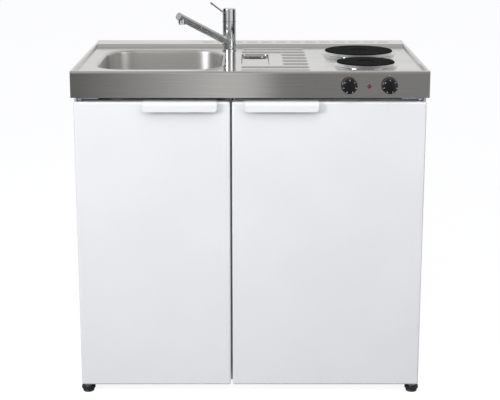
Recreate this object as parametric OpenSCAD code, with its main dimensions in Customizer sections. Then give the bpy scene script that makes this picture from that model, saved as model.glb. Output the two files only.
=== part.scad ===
// Compact kitchenette: a pressed steel worktop with a sink, a draining board and two hot plates,
// on a steel cabinet with a sink cupboard on the left and a refrigerator on the right.
// Millimetres. X runs across, Y from the front to the wall, Z up from the floor. The width of the
// unit is that of the bowl and the refrigerator with their margins. Its depth follows from the
// refrigerator and its condenser.

/* [Worktop] */
// Height of the worktop's rim above the floor
worktop_h = 860; // [850:1:920]
// Height of the folded fascia
fascia_h = 67; // [62:1:80]
// Radius of the fold between the fascia and the rim
fold_r = 4; // [2:0.5:8]
// Thickness of the pressed steel of the worktop and the bowl
deck_t = 1.2; // [0.8:0.1:1.6]
// Drop of the draining surface below the rim
field_drop = 8; // [5:0.5:12]
// Width of the flat rim behind the fascia, with its fold
front_rim_w = 12; // [10:0.5:20]
// Width of the flat rim along each side
side_rim_w = 6; // [4:0.5:12]
// Width of the slope from the rim down to the draining surface
rim_slope_w = 4; // [2:0.5:10]
// Depth of the flat ledge along the wall
ledge_d = 86; // [70:1:100]
// Depth of the sloping riser of the ledge
riser_d = 12; // [6:0.5:20]
// Height of the rear skirt below the ledge
rear_skirt_h = 34; // [24:1:40]
// Length of the vents in the ledge
vent_len = 32; // [20:1:36]
// Width of those vents
vent_w = 6; // [4:0.5:10]
// Distance between the vents, along the ledge
vent_pitch = 42.7; // [38:0.1:60]
// Number of vents
vent_count = 13; // [9:1:15]
// Distance from the right side of the worktop to the vents
vent_side = 43.6; // [30:0.1:60]

/* [Draining board] */
// Height of the draining beads
bead_rise = 3.2; // [1.5:0.1:4]
// Width of the draining beads
bead_w = 18; // [14:1:28]
// Distance between the beads, front to back
bead_pitch = 55.4; // [50:0.1:58]
// Number of draining beads
bead_count = 8; // [6:1:8]
// How far the middle of the beads lies behind the middle of the draining surface
bead_shift = 4; // [0:1:10]
// Distance from the beads to the rear hot plate
bead_plate_gap = 52; // [40:1:60]
// Distance from the overflow well to the short beads beside it
bead_well_gap = 31; // [15:1:35]
// Width of the overflow well
well_w = 78; // [60:1:84]
// Depth of the overflow well, front to back
well_d = 200; // [150:1:210]
// How far the middle of the well lies behind the middle of the draining surface
well_shift = 11; // [5:1:20]
// Distance from the bowl to the well
well_gap = 42; // [36:1:50]
// Depth of the well below the draining surface
well_depth = 7; // [5:0.5:10]
// Depth of the pocket at the rear of the well
pocket_depth = 26; // [20:1:34]
// Length of that pocket, front to back
pocket_d = 48; // [40:1:70]

/* [Bowl] */
// Width of the bowl's opening
bowl_w = 340; // [300:1:380]
// Length of the bowl's opening, front to back
bowl_d = 369; // [320:1:380]
// Depth of the bowl
bowl_depth = 150; // [120:1:180]
// Radius of the bowl's corners
bowl_corner_r = 85; // [70:1:100]
// Radius of the rolled rim
bowl_rim_r = 8; // [5:0.5:12]
// Radius between the bowl's wall and its floor
bowl_floor_r = 30; // [15:1:45]
// Distance from the left side of the worktop to the bowl
bowl_side = 43; // [36:1:80]
// Distance from the bowl to the divider of the cabinet
divider_gap = 19; // [19:1:40]
// How far the middle of the bowl lies behind the middle of the draining surface
bowl_shift = 6; // [0:1:8]
// Radius of the waste hole
waste_hole_r = 43; // [40:0.5:45]

/* [Hot plates] */
// Diameter of the rear hot plate
rear_plate_dia = 186; // [170:1:190]
// Diameter of the front hot plate
front_plate_dia = 151; // [140:1:155]
// Distance from the right side of the worktop to the centre of the plates
plate_side = 149; // [140:1:170]
// Distance from the middle of the draining surface back to the centre of the rear plate
rear_plate_shift = 94; // [90:1:100]
// Distance from the middle of the draining surface forward to the centre of the front plate
front_plate_shift = 117; // [110:1:125]
// Height of the plates above the draining surface
plate_rise = 13.5; // [11:0.5:18]
// Thickness of the rim of the plates
plate_rim_t = 2.5; // [2:0.5:5]
// Depth of the spill tray under the plates
tray_depth = 36; // [30:1:40]

/* [Controls] */
// Diameter of the control knobs
knob_dia = 42; // [36:1:46]
// How far the knobs stand out of the fascia
knob_proud = 20; // [18:1:28]
// Distance from the right side of the worktop to the left knob
left_knob_side = 202; // [190:1:215]
// Distance from the right side of the worktop to the right knob
right_knob_side = 101.3; // [90:0.1:110]
// Height of the knobs below the rim
knob_drop = 35.5; // [33:0.5:40]
// Diameter of the switch spindles
spindle_dia = 6; // [4:0.5:8]
// Side of the square switch housings
switch_size = 38; // [30:1:42]
// Diameter of the lens of the pilot lamp
lamp_dia = 10; // [8:0.5:14]

/* [Cabinet] */
// Thickness of the cabinet's steel sheet
sheet = 1.2; // [0.8:0.1:1.5]
// Clearance between the floor and the doors
door_clear = 23; // [22:1:30]
// Gap between the fascia and the doors
door_head_gap = 11; // [10:0.5:14]
// Width of the gap between the doors
door_gap = 5; // [4:0.5:7]
// How far the doors stand in from each side of the worktop
door_inset = 6; // [5:0.5:8]
// Thickness of the doors
door_t = 36; // [32:1:38]
// Thickness of the steel skin of the doors
skin = 1; // [0.8:0.1:1.2]
// Radius of the doors' edges
door_r = 5; // [3:0.5:7]
// Gap between the doors and the cabinet, filled by the seal
seal_gap = 8.3; // [7:0.1:10]
// Width of the door handles
handle_w = 185; // [150:1:200]
// Height of the lip of the handles
handle_h = 25; // [20:1:30]
// How far the handles stand out of the fascia
handle_proud = 16; // [13:0.5:17]
// Thickness of the handles
handle_t = 2.4; // [1.5:0.1:3]
// Distance from the handles to the edges where the doors meet
handle_inset = 33; // [20:1:60]
// Diameter of the hinge pins
pin_dia = 6; // [5:0.5:8]
// Distance from the hinge pins to the door's outer edge
pin_edge = 15; // [14:0.5:17]
// Distance from the hinge pins to the door's front face
pin_front = 20; // [19:0.5:22]
// Diameter of the levelling feet
foot_dia = 36; // [30:1:40]

/* [Refrigerator] */
// Width of the refrigerator's case
case_w = 480; // [440:1:540]
// Depth of the refrigerator's case
case_d = 500; // [480:1:560]
// Thickness of the insulated walls
wall_t = 32; // [28:1:36]
// Depth of the space behind the case, where the condenser hangs
condenser_space = 43.7; // [40:0.1:60]
// Depth of the compressor's space, front to back
niche_d = 156; // [150:1:165]
// Height of the compressor's space
niche_h = 170; // [165:1:185]
// Clearance at each side of the evaporator
evaporator_gap = 38; // [30:1:60]
// Height of the evaporator
evaporator_h = 92; // [80:1:100]
// Length of the evaporator, front to back
evaporator_d = 330; // [300:1:340]
// Height of the upper shelf above the refrigerator's floor
shelf_h = 359.8; // [330:0.1:380]
// Height of the crisper
crisper_h = 130; // [110:1:140]
// How far the crisper slides behind the closed door
crisper_travel = 45; // [30:1:50]
// Depth of the racks on the door
rack_d = 70; // [60:1:75]
// Number of passes of the condenser's tube
condenser_passes = 11; // [8:1:13]
// Diameter of the condenser's tube
condenser_dia = 5; // [4:0.5:6]

/* [Tap] */
// Distance from the bowl to the centre of the tap, across
tap_gap = 8; // [6:0.5:14]
// Distance from the foot of the riser to the centre of the tap
tap_riser_gap = 58; // [50:1:62]
// Diameter of the tap's body
tap_dia = 38; // [34:1:42]
// Height of the turning body of the tap
tap_body_h = 82; // [75:1:90]
// Height of the cap above that body
tap_cap_h = 36; // [30:1:40]
// Diameter of the spout
spout_dia = 21; // [18:0.5:24]
// Length of the spout along its axis
spout_len = 212; // [170:1:220]
// Climb of the spout above the level, in degrees
spout_climb = 25.3; // [15:0.1:35]
// Height of the spout's axis where it meets the axis of the tap
spout_root_h = 21; // [18:0.5:30]
// Heading of the spout at rest, in degrees from +X
spout_heading = 225; // [200:1:250]
// Diameter of the pin lever
lever_dia = 4.6; // [4:0.1:6]
// Climb of the lever at rest, in degrees
lever_climb = 32; // [30:1:38]
// Reach of the lever's tip from the axis of the tap
lever_reach = 71; // [55:1:75]

/* [Drain] */
// Diameter of the waste's outlet pipe
outlet_dia = 40; // [36:1:45]
// Wall of the drain pipes
pipe_wall = 2; // [1.5:0.1:3]
// Drop of the outlet pipe below the bowl's floor
outlet_drop = 142; // [130:1:170]

/* [Hidden] */
$fn = 64;

// Clearances
touch = 0.3;              // between pieces that only just clear
run = 0.05;               // radial, between a pin and its bore
over = 1;                 // by which a cutting solid passes the face that it cuts
skirt_gap = 0.8;          // between the worktop's skirts and the side panels
case_gap = 6;             // between the refrigerator's case and the right side
divider_case_gap = 7.6;   // between the divider and the refrigerator's case
wall_gap = 10;            // between the cabinet's back and the wall

// Front to back: the box of the whole unit is centred on Y = 0
door_front = 2;           // the doors' faces lie this far behind the fascia
frame_front = door_front + door_t + seal_gap;      // front edges of the cabinet's panels
frame_back = frame_front + case_d + condenser_space;
worktop_d = frame_back + wall_gap;
field_front = front_rim_w + rim_slope_w;
field_back = worktop_d - ledge_d - riser_d;
field_mid = (field_front + field_back) / 2;
proud = max(knob_proud, handle_proud);
front_y = (proud - worktop_d) / 2;
function at(d) = front_y + d;

// Across
side_build = deck_t + skirt_gap + sheet;           // from the worktop's edge to the inside of a side
cupboard_w = bowl_side - side_build + bowl_w + divider_gap;
worktop_w = 2 * side_build + cupboard_w + sheet + divider_case_gap + case_w + case_gap;
half_w = worktop_w / 2;
side_x = half_w - deck_t - skirt_gap;              // outer face of the side panels
bowl_x = -half_w + bowl_side + bowl_w / 2;
bowl_x1 = bowl_x + bowl_w / 2;
split_x = bowl_x1 + divider_gap;                   // the divider, and the gap between the doors

// Heights
rim_under = worktop_h - deck_t;
field_z = worktop_h - field_drop;
field_under = field_z - deck_t;
fascia_bottom = worktop_h - fascia_h;
door_top = fascia_bottom - door_head_gap;
door_h = door_top - door_clear;
bowl_floor = field_z - bowl_depth;
skirt_bottom = worktop_h - rear_skirt_h;

// Doors
door_x0 = -half_w + door_inset;
door_x1 = half_w - door_inset;
sink_door_x1 = split_x - door_gap / 2;
fridge_door_x0 = split_x + door_gap / 2;
sink_door_w = sink_door_x1 - door_x0;
fridge_door_w = door_x1 - fridge_door_x0;
door_back = door_front + door_t;
hinge_d = door_front + pin_front;
left_hinge_x = door_x0 + pin_edge;
right_hinge_x = door_x1 - pin_edge;
bush_r = 6.5;
bush_h = 14;
bush_lip = 0.8;
pin_in = bush_h - 4;      // how far the hinge pins reach into the doors
handle_z1 = door_top + handle_t;
handle_seat = 24;         // depth of a handle's flange on its door
handle_bend = 9;
handle_corner = 8;
rib_inset = 90;           // from a door's edge to a stiffening rib
rib_w = 16;
rib_end = 60;

// Cabinet
rail_front = frame_front - sheet;
rail_flange = 15;
base_z = door_clear + 2;                           // underside of the base panel
base_lip = 6;
flange = 18;
back_inset = 3;           // from the cabinet's back to the back panel
front_flange = 6;
panel_top = fascia_bottom - 5;                     // top of the divider and the back panel
bracket_t = 3;
bracket_w = 46;
bracket_end = 8;          // from a hinge pin to the near end of its upper bracket
bracket_rise = 24;
lower_bracket_t = 5;
lower_bracket_z = door_clear - 3;                  // top of the lower brackets
lower_bracket_r = 10;
lower_bracket_l = 40;
rail_t = 2;
wall_hole_r = 4;
wall_hole_x = half_w - 100;
wall_hole_z = skirt_bottom - wall_hole_r - 6;
service_w = 190;          // the opening in the back panel round the drain
service_h = 150;
grille_count = 6;         // air slots under the compressor
grille_pitch = 40;
foot_stud_r = 4;
foot_disc_h = 6;
foot_rear_x = side_x - 34;
foot_rear_d = frame_back - 34;
foot_top = lower_bracket_z - lower_bracket_t - touch;
front_stud = 3.2;
rear_stud = 14;

// Refrigerator
case_x1 = side_x - sheet - case_gap;
case_x0 = case_x1 - case_w;
case_z0 = base_z + sheet + 2;
case_z1 = panel_top - 6;
case_front = frame_front;
case_back = case_front + case_d;
case_lip = 16;
cavity_x0 = case_x0 + wall_t;
cavity_x1 = case_x1 - wall_t;
cavity_z0 = case_z0 + wall_t;
cavity_z1 = case_z1 - wall_t;
cavity_back = case_back - wall_t;
cavity_x = (cavity_x0 + cavity_x1) / 2;
cavity_z = (cavity_z0 + cavity_z1) / 2;
cavity_r = 12;
liner_t = 2.2;
niche_front = case_back - niche_d;
hump_z = case_z0 + niche_h + wall_t;
hump_front = niche_front - wall_t;
evaporator_x0 = cavity_x0 + evaporator_gap;
evaporator_x1 = cavity_x1 - evaporator_gap;
evaporator_z1 = cavity_z1 - 6;
evaporator_z0 = evaporator_z1 - evaporator_h;
evaporator_front = cavity_back - 12 - evaporator_d;
evaporator_t = 2;
hanger_w = 20;
ear_t = 4;
ear_r = 6;
flap_t = 5;
flap_pin_r = 2.5;
flap_pin_z = evaporator_z0 + 7;
flap_pin_d = evaporator_front - 6;
flap_grip_w = 90;
shelf_front = case_front + 92;
shelf_t = 4;
shelf_rib = 5;
upper_shelf_z = cavity_z0 + shelf_h;
lower_shelf_z = hump_z + 8;
gasket_edge = 4;
gasket_w = 20;
rack_gap = 2.6;           // between the racks and the dyke round them
rack_t = 2.5;
rack_slot_w = 20;
rack_slot_pitch = 42;
rack_band = 14;           // above and below the slots
lower_rack_h = 84;
upper_rack_h = 60;
crisper_t = 2.5;
crisper_side = 14;
crisper_grip_w = 120;
crisper_grip_d = 8;
crisper_grip_drop = 10;
crisper_grip_h = 16;
crisper_back = hump_front - 8;
crisper_front = door_back + rack_d + 9.3 + crisper_travel + crisper_grip_d;
dyke_inset = 12;
dyke_w = 14;
dyke_rise = 14;
thermostat_drop = 210;
thermostat_z = cavity_z1 - thermostat_drop;
thermostat_setback = 213.7;
thermostat_front = case_front + thermostat_setback;
thermostat_knob_r = 16;
thermostat_knob_t = 10;
thermostat_grip = 5;
thermostat_t = 26;
thermostat_l = 120;
thermostat_h = 48;
thermostat_stem_r = 3;
thermostat_stem = 14;
compressor_r = 60;
compressor_h = 120;
compressor_d = niche_front + niche_d / 2 + 6;
condenser_off = 16;       // from the case to the condenser's tube
condenser_side = 40;
condenser_end = 30;
condenser_wires = 12;
wire_r = 1;

// Tap
tap_x = bowl_x1 + tap_gap;
tap_front = field_back - tap_riser_gap;
tap_y = at(tap_front);
tap_hole_r = 17.5;
base_h = 4;
column_r = 13;
shank_r = 8;
shank_len = 46;
nut_r = 17;
washer_r = 27;
washer_h = 12;
nut_h = 14;
lever_h = tap_body_h + 13;                         // the lever's pivot above the draining surface
ball_r = 5.5;
lever_pin_r = 1.8;
cap_wall = 4;
cap_edge = 3;
cap_reveal = 1;
aerator_r = 8.5;
aerator_reach = (spout_len - 14) * cos(spout_climb);
aerator_z = spout_root_h + (spout_len - 14) * sin(spout_climb) - spout_dia / 2 - 1;

// Drain
well_x = bowl_x1 + well_gap + well_w / 2;
well_front = field_mid + well_shift - well_d / 2;
well_y = at(well_front + well_d / 2);
well_r = 14;
well_rim_r = 2.5;
well_floor_r = 4;
pocket_w = well_w - 12;
pocket_y = at(well_front + well_d - 6 - pocket_d / 2);
pocket_r = 20;
pocket_rim_r = 1.5;
bowl_front = field_mid + bowl_shift - bowl_d / 2;
waste_d = bowl_front + bowl_d / 2;
waste_y = at(waste_d);
waste_cup_r = waste_hole_r - 2;
waste_len = 60;
outlet_h = bowl_floor - outlet_drop;
trap_r = 34;
trap_h = 84;
trap_top = bowl_floor - waste_len;
trap_bottom = outlet_h - 62;
overflow_r = 9;

// Hob
plate_x = half_w - plate_side;
rear_plate_front = field_mid + rear_plate_shift;
front_plate_front = field_mid - front_plate_shift;
plates = [[rear_plate_front, rear_plate_dia], [front_plate_front, front_plate_dia]];
bead_x1 = plate_x - rear_plate_dia / 2 - bead_plate_gap;
collar_rise = 3;
ring_top = plate_rise - plate_rim_t;
stud_r = 4;
tray_front = frame_front + 4;
tray_margin = 8;
tray_x0 = plate_x - rear_plate_dia / 2 - tray_margin;
tray_x1 = plate_x + rear_plate_dia / 2 + tray_margin;
tray_back = rear_plate_front + rear_plate_dia / 2 + tray_margin;
tray_z = field_z - tray_depth;

// Control panel
left_knob_x = half_w - left_knob_side;
right_knob_x = half_w - right_knob_side;
knob_z = worktop_h - knob_drop;
knob_gap = 0.8;
knob_shoulder = 4;
knob_bore = 12;
lamp_x = (left_knob_x + right_knob_x) / 2;
lamp_z = knob_z - 2.5;
switch_front = deck_t + 0.5;
switch_d = 30;
spindle_in = 19;          // how far the spindles reach into the switches
gland_x = half_w - 70;
gland_r = 9;
gland_bore_r = 5.5;
gland_z = skirt_bottom - gland_r - 1;
box_w = 80;               // the connection box round the gland
box_d = 40;
box_h = 44;
box_t = 3;

// ---------- shared forms ----------

// A rectangle with round corners
module rounded_rect(w, h, r) {
    square([w - 2 * r, h], center = true);
    square([w, h - 2 * r], center = true);
    for (sx = [-1, 1], sy = [-1, 1])
        translate([sx * (w / 2 - r), sy * (h / 2 - r)])
            circle(r = r);
}

// A quarter of a flat ring, from an angle
module quarter_ring(r_in, r_out, from) {
    intersection() {
        difference() {
            circle(r = r_out);
            circle(r = r_in);
        }
        rotate(from)
            square(r_out + over);
    }
}

// Carries a section round a rectangle with round corners. The section's X is the distance
// from the corners' centres, and its Y becomes Z.
module sweep_round(w, h, r) {
    for (i = [0:3]) {
        sx = (i == 0 || i == 3) ? 1 : -1;
        sy = i < 2 ? 1 : -1;
        side = i % 2 == 0 ? w : h;
        run_len = (i % 2 == 0 ? h : w) - 2 * r;
        translate([sx * (w / 2 - r), sy * (h / 2 - r), 0])
            rotate([0, 0, 90 * i])
                rotate_extrude(angle = 90)
                    children();
        rotate([0, 0, 90 * i])
            translate([side / 2 - r, 0, 0])
                rotate([90, 0, 0])
                    linear_extrude(run_len, center = true)
                        children();
    }
}

// A pressed tray with a rolled rim, hanging from Z = 0
module tray(w, h, corner_r, rim_r, depth, floor_r, t) {
    wall = corner_r - rim_r;
    sweep_round(w, h, corner_r) {
        union() {
            translate([corner_r, -rim_r])
                quarter_ring(rim_r - t, rim_r, 90);
            translate([wall, -depth + floor_r])
                square([t, depth - floor_r - rim_r]);
            translate([wall - floor_r, -depth + floor_r])
                quarter_ring(floor_r, floor_r + t, 270);
            translate([0, -depth - t])
                square([wall - floor_r, t]);
        }
    }
    translate([0, 0, -depth - t / 2])
        cube([w - 2 * corner_r, h - 2 * corner_r, t], center = true);
}

// A box from its corners
module block(x0, x1, d0, d1, z0, z1) {
    translate([x0, at(d0), z0])
        cube([x1 - x0, d1 - d0, z1 - z0]);
}

// A prism whose section is drawn as distance from the fascia and height, between two X
module across(x0, x1) {
    translate([x0, front_y, 0])
        rotate([90, 0, 90])
            linear_extrude(x1 - x0)
                children();
}

// A round bar between two heights
module post(x, d, z0, z1, r) {
    translate([x, at(d), z0])
        cylinder(r = r, h = z1 - z0);
}

// A round bar from front to back
module bar(x, d0, d1, z, r) {
    translate([x, at(d0), z])
        rotate([-90, 0, 0])
            cylinder(r = r, h = d1 - d0);
}

// A round body with a rounded upper edge
module rounded_top(r, h, edge) {
    rotate_extrude()
        intersection() {
            union() {
                square([r, h - edge]);
                square([r - edge, h]);
                translate([r - edge, h - edge])
                    circle(r = edge);
            }
            square([r, h]);
        }
}

// ---------- worktop ----------

// Section of the worktop as a solid, front to back, shrunk by s where its sheet is taken out
module worktop_section(s) {
    r = fold_r + deck_t;
    translate([s, -fascia_h - s])
        square([r - s, fascia_h + s - r]);
    translate([r, -r])
        circle(r = r - s);
    translate([r, -fascia_h - s])
        square([worktop_d - r - s, fascia_h]);
}

// Section of the sunken field between two slopes of the widths w0 and w1, grown by s
module field_section(x0, x1, w0, w1, s) {
    run0 = w0 / field_drop;
    run1 = w1 / field_drop;
    low = field_drop + s;
    a = x0 - s * norm([1, run0]);
    b = x1 + s * norm([1, run1]);
    polygon([
        [a - run0 * over, over], [a + run0 * low, -low], [b - run1 * low, -low], [b + run1 * over, over]
    ]);
}

// The worktop as a solid with its sunken field, shrunk by s
module worktop_block(s) {
    translate([0, 0, worktop_h])
        difference() {
            across(-half_w + s, half_w - s)
                worktop_section(s);
            intersection() {
                across(-half_w, half_w)
                    field_section(front_rim_w, field_back + riser_d, rim_slope_w, riser_d, s);
                translate([0, at(worktop_d), 0])
                    rotate([90, 0, 0])
                        linear_extrude(worktop_d)
                            field_section(side_rim_w - half_w, half_w - side_rim_w,
                                rim_slope_w, rim_slope_w, s);
            }
        }
}

// One draining bead: a shallow round ridge with round ends
module bead(len, shrink) {
    ridge_r = (pow(bead_w / 2, 2) + pow(bead_rise, 2)) / (2 * bead_rise);
    half = len / 2 - bead_w / 2;
    translate([0, 0, bead_rise - ridge_r]) {
        rotate([0, 90, 0])
            cylinder(r = ridge_r - shrink, h = 2 * half, center = true);
        for (s = [-1, 1])
            translate([s * half, 0, 0])
                sphere(r = ridge_r - shrink);
    }
}

// The row of beads, short beside the well and long before and behind it
module beads(shrink) {
    first = field_mid + bead_shift - bead_pitch * (bead_count - 1) / 2;
    for (i = [0 : bead_count - 1]) {
        d = first + i * bead_pitch;
        beside_well = d + bead_w / 2 > well_front && d - bead_w / 2 < well_front + well_d;
        len = bead_x1 - (beside_well ? well_x + well_w / 2 + bead_well_gap : well_x - well_w / 2);
        translate([bead_x1 - len / 2, at(d), field_z])
            bead(len, shrink);
    }
}

// The pressed collar round a hot plate's hole
module plate_collar(dia) {
    r = dia / 2;
    low = collar_rise - deck_t;
    rotate_extrude($fn = 96)
        polygon([
            [r + 9, -deck_t], [r + 9, 0], [r + 6.5, collar_rise], [r - 4.5, collar_rise], [r - 4.5, low],
            [r + 5, low], [r + 7, -deck_t]
        ]);
}

// A hole with round corners through the field
module field_hole(x, y, w, h, r) {
    translate([x, y, field_under - over])
        linear_extrude(deck_t + 2 * over)
            rounded_rect(w, h, r);
}

module worktop() {
    color("lightgray") {
        difference() {
            union() {
                difference() {
                    worktop_block(0);
                    worktop_block(deck_t);
                    // open below the rear skirt
                    block(-half_w + deck_t, half_w - deck_t, worktop_d - 2 * deck_t, worktop_d + over,
                        fascia_bottom - over, skirt_bottom);
                }
                intersection() {
                    beads(0);
                    block(-half_w, half_w, 0, worktop_d, field_under, worktop_h);
                }
            }
            intersection() {
                beads(deck_t);
                block(-half_w, half_w, 0, worktop_d, field_under - over, worktop_h);
            }
            field_hole(bowl_x, waste_y, bowl_w, bowl_d, bowl_corner_r);
            field_hole(well_x, well_y, well_w, well_d, well_r);
            // the holes under the collars
            for (p = plates)
                post(plate_x, p[0], field_under - over, field_z + over, p[1] / 2 + 8);
            post(tap_x, tap_front, field_under - over, field_z + over, tap_hole_r);
            // the row of vents in the ledge
            for (i = [0 : vent_count - 1])
                translate([half_w - vent_side - vent_len / 2 - i * vent_pitch,
                    at(worktop_d - ledge_d / 2), rim_under - over])
                    linear_extrude(deck_t + 2 * over)
                        rounded_rect(vent_len, vent_w, vent_w / 2 - 0.01);
            // the holes for the spindles and the lamp
            for (x = [left_knob_x, right_knob_x])
                bar(x, -over, deck_t + over, knob_z, spindle_dia / 2 + 2);
            bar(lamp_x, -over, deck_t + over, lamp_z, lamp_dia / 2);
        }
        for (p = plates)
            translate([plate_x, at(p[0]), field_z])
                plate_collar(p[1]);
    }
}

module sink_bowl() {
    color("silver") difference() {
        translate([bowl_x, waste_y, field_z])
            tray(bowl_w, bowl_d, bowl_corner_r, bowl_rim_r, bowl_depth, bowl_floor_r, deck_t);
        post(bowl_x, waste_d, bowl_floor - deck_t - over, bowl_floor + over, waste_hole_r);
    }
}

// The well beside the bowl, with a deep pocket at its rear that drains the worktop
module overflow_well() {
    well_floor = field_z - well_depth;
    color("silver") difference() {
        union() {
            difference() {
                translate([well_x, well_y, field_z])
                    tray(well_w, well_d, well_r, well_rim_r, well_depth, well_floor_r, deck_t);
                translate([well_x, pocket_y, well_floor - deck_t - over])
                    linear_extrude(deck_t + 2 * over)
                        rounded_rect(pocket_w, pocket_d, pocket_r);
            }
            translate([well_x, pocket_y, well_floor])
                tray(pocket_w, pocket_d, pocket_r, pocket_rim_r, pocket_depth - well_depth,
                    well_floor_r, deck_t);
        }
        translate([well_x, pocket_y, field_z - pocket_depth - deck_t - over])
            cylinder(r = overflow_r, h = deck_t + 2 * over);
    }
}

// ---------- cabinet ----------

// A side panel with flanges folded inwards at the front and the back
module side_panel(side) {
    x_out = side * side_x;
    x_in = side * (side_x - sheet);
    x_fold = side * (side_x - flange);
    x_front = side * (side_x - front_flange);
    block(min(x_out, x_in), max(x_out, x_in), frame_front, frame_back, base_z, rim_under - touch);
    block(min(x_out, x_front), max(x_out, x_front), frame_front, frame_front + sheet, base_z, panel_top);
    block(min(x_out, x_fold), max(x_out, x_fold), frame_back - sheet, frame_back, base_z, panel_top);
}

module left_side() {
    color("white") side_panel(-1);
}

module right_side() {
    color("white") side_panel(1);
}

// The wall between the cupboard and the refrigerator, with its folded front edge
module divider() {
    z0 = base_z + sheet;
    color("gainsboro") {
        block(split_x, split_x + sheet, frame_front, frame_back - back_inset, z0, panel_top);
        block(split_x - flange, split_x + sheet, frame_front, frame_front + sheet, z0, panel_top);
    }
}

module back_panel() {
    x0 = -side_x + flange + touch;
    x1 = split_x - touch;
    d1 = frame_back - back_inset;
    color("gainsboro") difference() {
        block(x0, x1, d1 - sheet, d1, base_z + sheet, panel_top);
        // the service opening round the drain
        translate([bowl_x, at(d1 - sheet - over), outlet_h])
            rotate([-90, 0, 0])
                linear_extrude(sheet + 2 * over)
                    rounded_rect(service_w, service_h, 12);
    }
}

// The floor of the cabinet, with a downturned edge at the front and air slots at the back
module base_panel() {
    x = side_x - sheet;
    first = cavity_x - grille_pitch * (grille_count - 1) / 2;
    color("gainsboro") difference() {
        union() {
            block(-x, x, frame_front + sheet, frame_back - sheet, base_z, base_z + sheet);
            block(-x + 2 * flange, x - 2 * flange, frame_front, frame_front + sheet,
                base_z - base_lip, base_z + sheet);
        }
        for (i = [0 : grille_count - 1])
            translate([first + i * grille_pitch, at(niche_front + grille_pitch), base_z - over])
                linear_extrude(sheet + 2 * over)
                    rounded_rect(10, 60, 4.9);
        for (side = [-1, 1])
            post(side * foot_rear_x, foot_rear_d, base_z - over, base_z + sheet + over,
                foot_stud_r + run);
    }
}

// The rail behind the fascia that ties the two sides together, ahead of the bowl
module front_rail() {
    x = side_x - sheet;
    z1 = knob_z + switch_size / 2 + 4;
    color("gainsboro") {
        block(-x, x, rail_front, frame_front, door_top + 2.5, z1);
        block(-x, x, rail_front - rail_flange, frame_front, z1 - sheet, z1);
    }
}

// The rail along the wall, with the holes that screw it there
module rear_rail() {
    x = side_x - sheet;
    d0 = frame_back - rail_t;
    color("gainsboro") difference() {
        block(-x, x, d0, frame_back, panel_top + touch, rim_under - touch);
        for (s = [-1, 1])
            bar(s * wall_hole_x, d0 - over, frame_back + over, wall_hole_z, wall_hole_r);
        bar(gland_x, d0 - over, frame_back + over, gland_z, gland_r + 2 * run);
    }
}

// The plates above the doors, each with its pin
module upper_hinge_brackets() {
    z0 = door_top + 4;
    color("slategray") for (p = [[left_hinge_x, 1], [right_hinge_x, -1]])
        translate([p[0], 0, 0]) {
            x0 = p[1] > 0 ? -bracket_end : -bracket_w;
            x1 = p[1] > 0 ? bracket_w : bracket_end;
            block(x0, x1, hinge_d, rail_front, z0, z0 + bracket_t);
            block(x0, x1, rail_front - bracket_t, rail_front, z0, z0 + bracket_rise);
            post(0, hinge_d, z0, z0 + bracket_t, bracket_end);
            post(0, hinge_d, door_top - pin_in, z0 + bracket_t + 1.5, pin_dia / 2);
        }
}

// The plates below the doors, each with its pin and a socket for the front foot
module lower_hinge_brackets() {
    z0 = lower_bracket_z - lower_bracket_t;
    r = lower_bracket_r;
    back = frame_front + lower_bracket_l;
    color("slategray") for (x = [left_hinge_x, right_hinge_x])
        translate([x, 0, 0])
            difference() {
                union() {
                    block(-r, r, hinge_d, back, z0, lower_bracket_z);
                    post(0, hinge_d, z0, lower_bracket_z, r);
                    block(-r, r, frame_front + 12, back, z0, base_z - touch);
                    post(0, hinge_d, z0, door_clear + pin_in, pin_dia / 2);
                    post(0, hinge_d, z0, door_clear - bush_lip - touch, bush_r + 1);
                }
                post(0, hinge_d, z0 - over, z0 + front_stud, foot_stud_r + run);
            }
}

// A levelling foot: a pad, a cone, a grip disc and a stud
module foot(x, d, top, stud) {
    r = foot_dia / 2;
    low = top - foot_disc_h;
    color("dimgray") translate([x, at(d), 0])
        rotate_extrude()
            polygon([
                [0, 0], [r - 4, 0], [r - 3, 2], [r - 6, low], [r, low], [r, top - 1], [r - 1, top],
                [foot_stud_r, top], [foot_stud_r, top + stud], [0, top + stud]
            ]);
}

module front_left_foot() {
    foot(left_hinge_x, hinge_d, foot_top, front_stud);
}

module front_right_foot() {
    foot(right_hinge_x, hinge_d, foot_top, front_stud);
}

module rear_left_foot() {
    foot(-foot_rear_x, foot_rear_d, base_z - touch, rear_stud);
}

module rear_right_foot() {
    foot(foot_rear_x, foot_rear_d, base_z - touch, rear_stud);
}

// ---------- doors ----------

// Section of a door's edge: the front fold and the return
module door_edge() {
    intersection() {
        difference() {
            union() {
                translate([0, door_r])
                    square([door_r, door_t - door_r]);
                intersection() {
                    translate([0, door_r])
                        circle(r = door_r);
                    square([door_r, door_r]);
                }
            }
            translate([0, door_r])
                square([door_r - skin, door_t]);
            translate([0, door_r])
                circle(r = door_r - skin);
        }
        square([door_r, door_t]);
    }
}

// The pressed skin of a door, open at the back, standing with its lower left corner at x0
module door_skin(x0, w, hinge_x) {
    difference() {
        translate([x0 + w / 2, at(door_front), door_clear + door_h / 2])
            rotate([-90, 0, 0]) {
                sweep_round(w, door_h, door_r)
                    door_edge();
                translate([0, 0, skin / 2])
                    cube([w - 2 * door_r, door_h - 2 * door_r, skin], center = true);
            }
        post(hinge_x, hinge_d, door_clear - over, door_clear + 2 * skin, bush_r + run);
        post(hinge_x, hinge_d, door_top - 2 * skin, door_top + over, bush_r + run);
    }
}

// The plate that closes the back of a door, inside its skin
module door_plate(x0, w, t) {
    g = skin + touch;
    translate([x0 + w / 2, at(door_back - t), door_clear + door_h / 2])
        rotate([-90, 0, 0])
            linear_extrude(t)
                rounded_rect(w - 2 * g, door_h - 2 * g, door_r - g);
}

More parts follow.
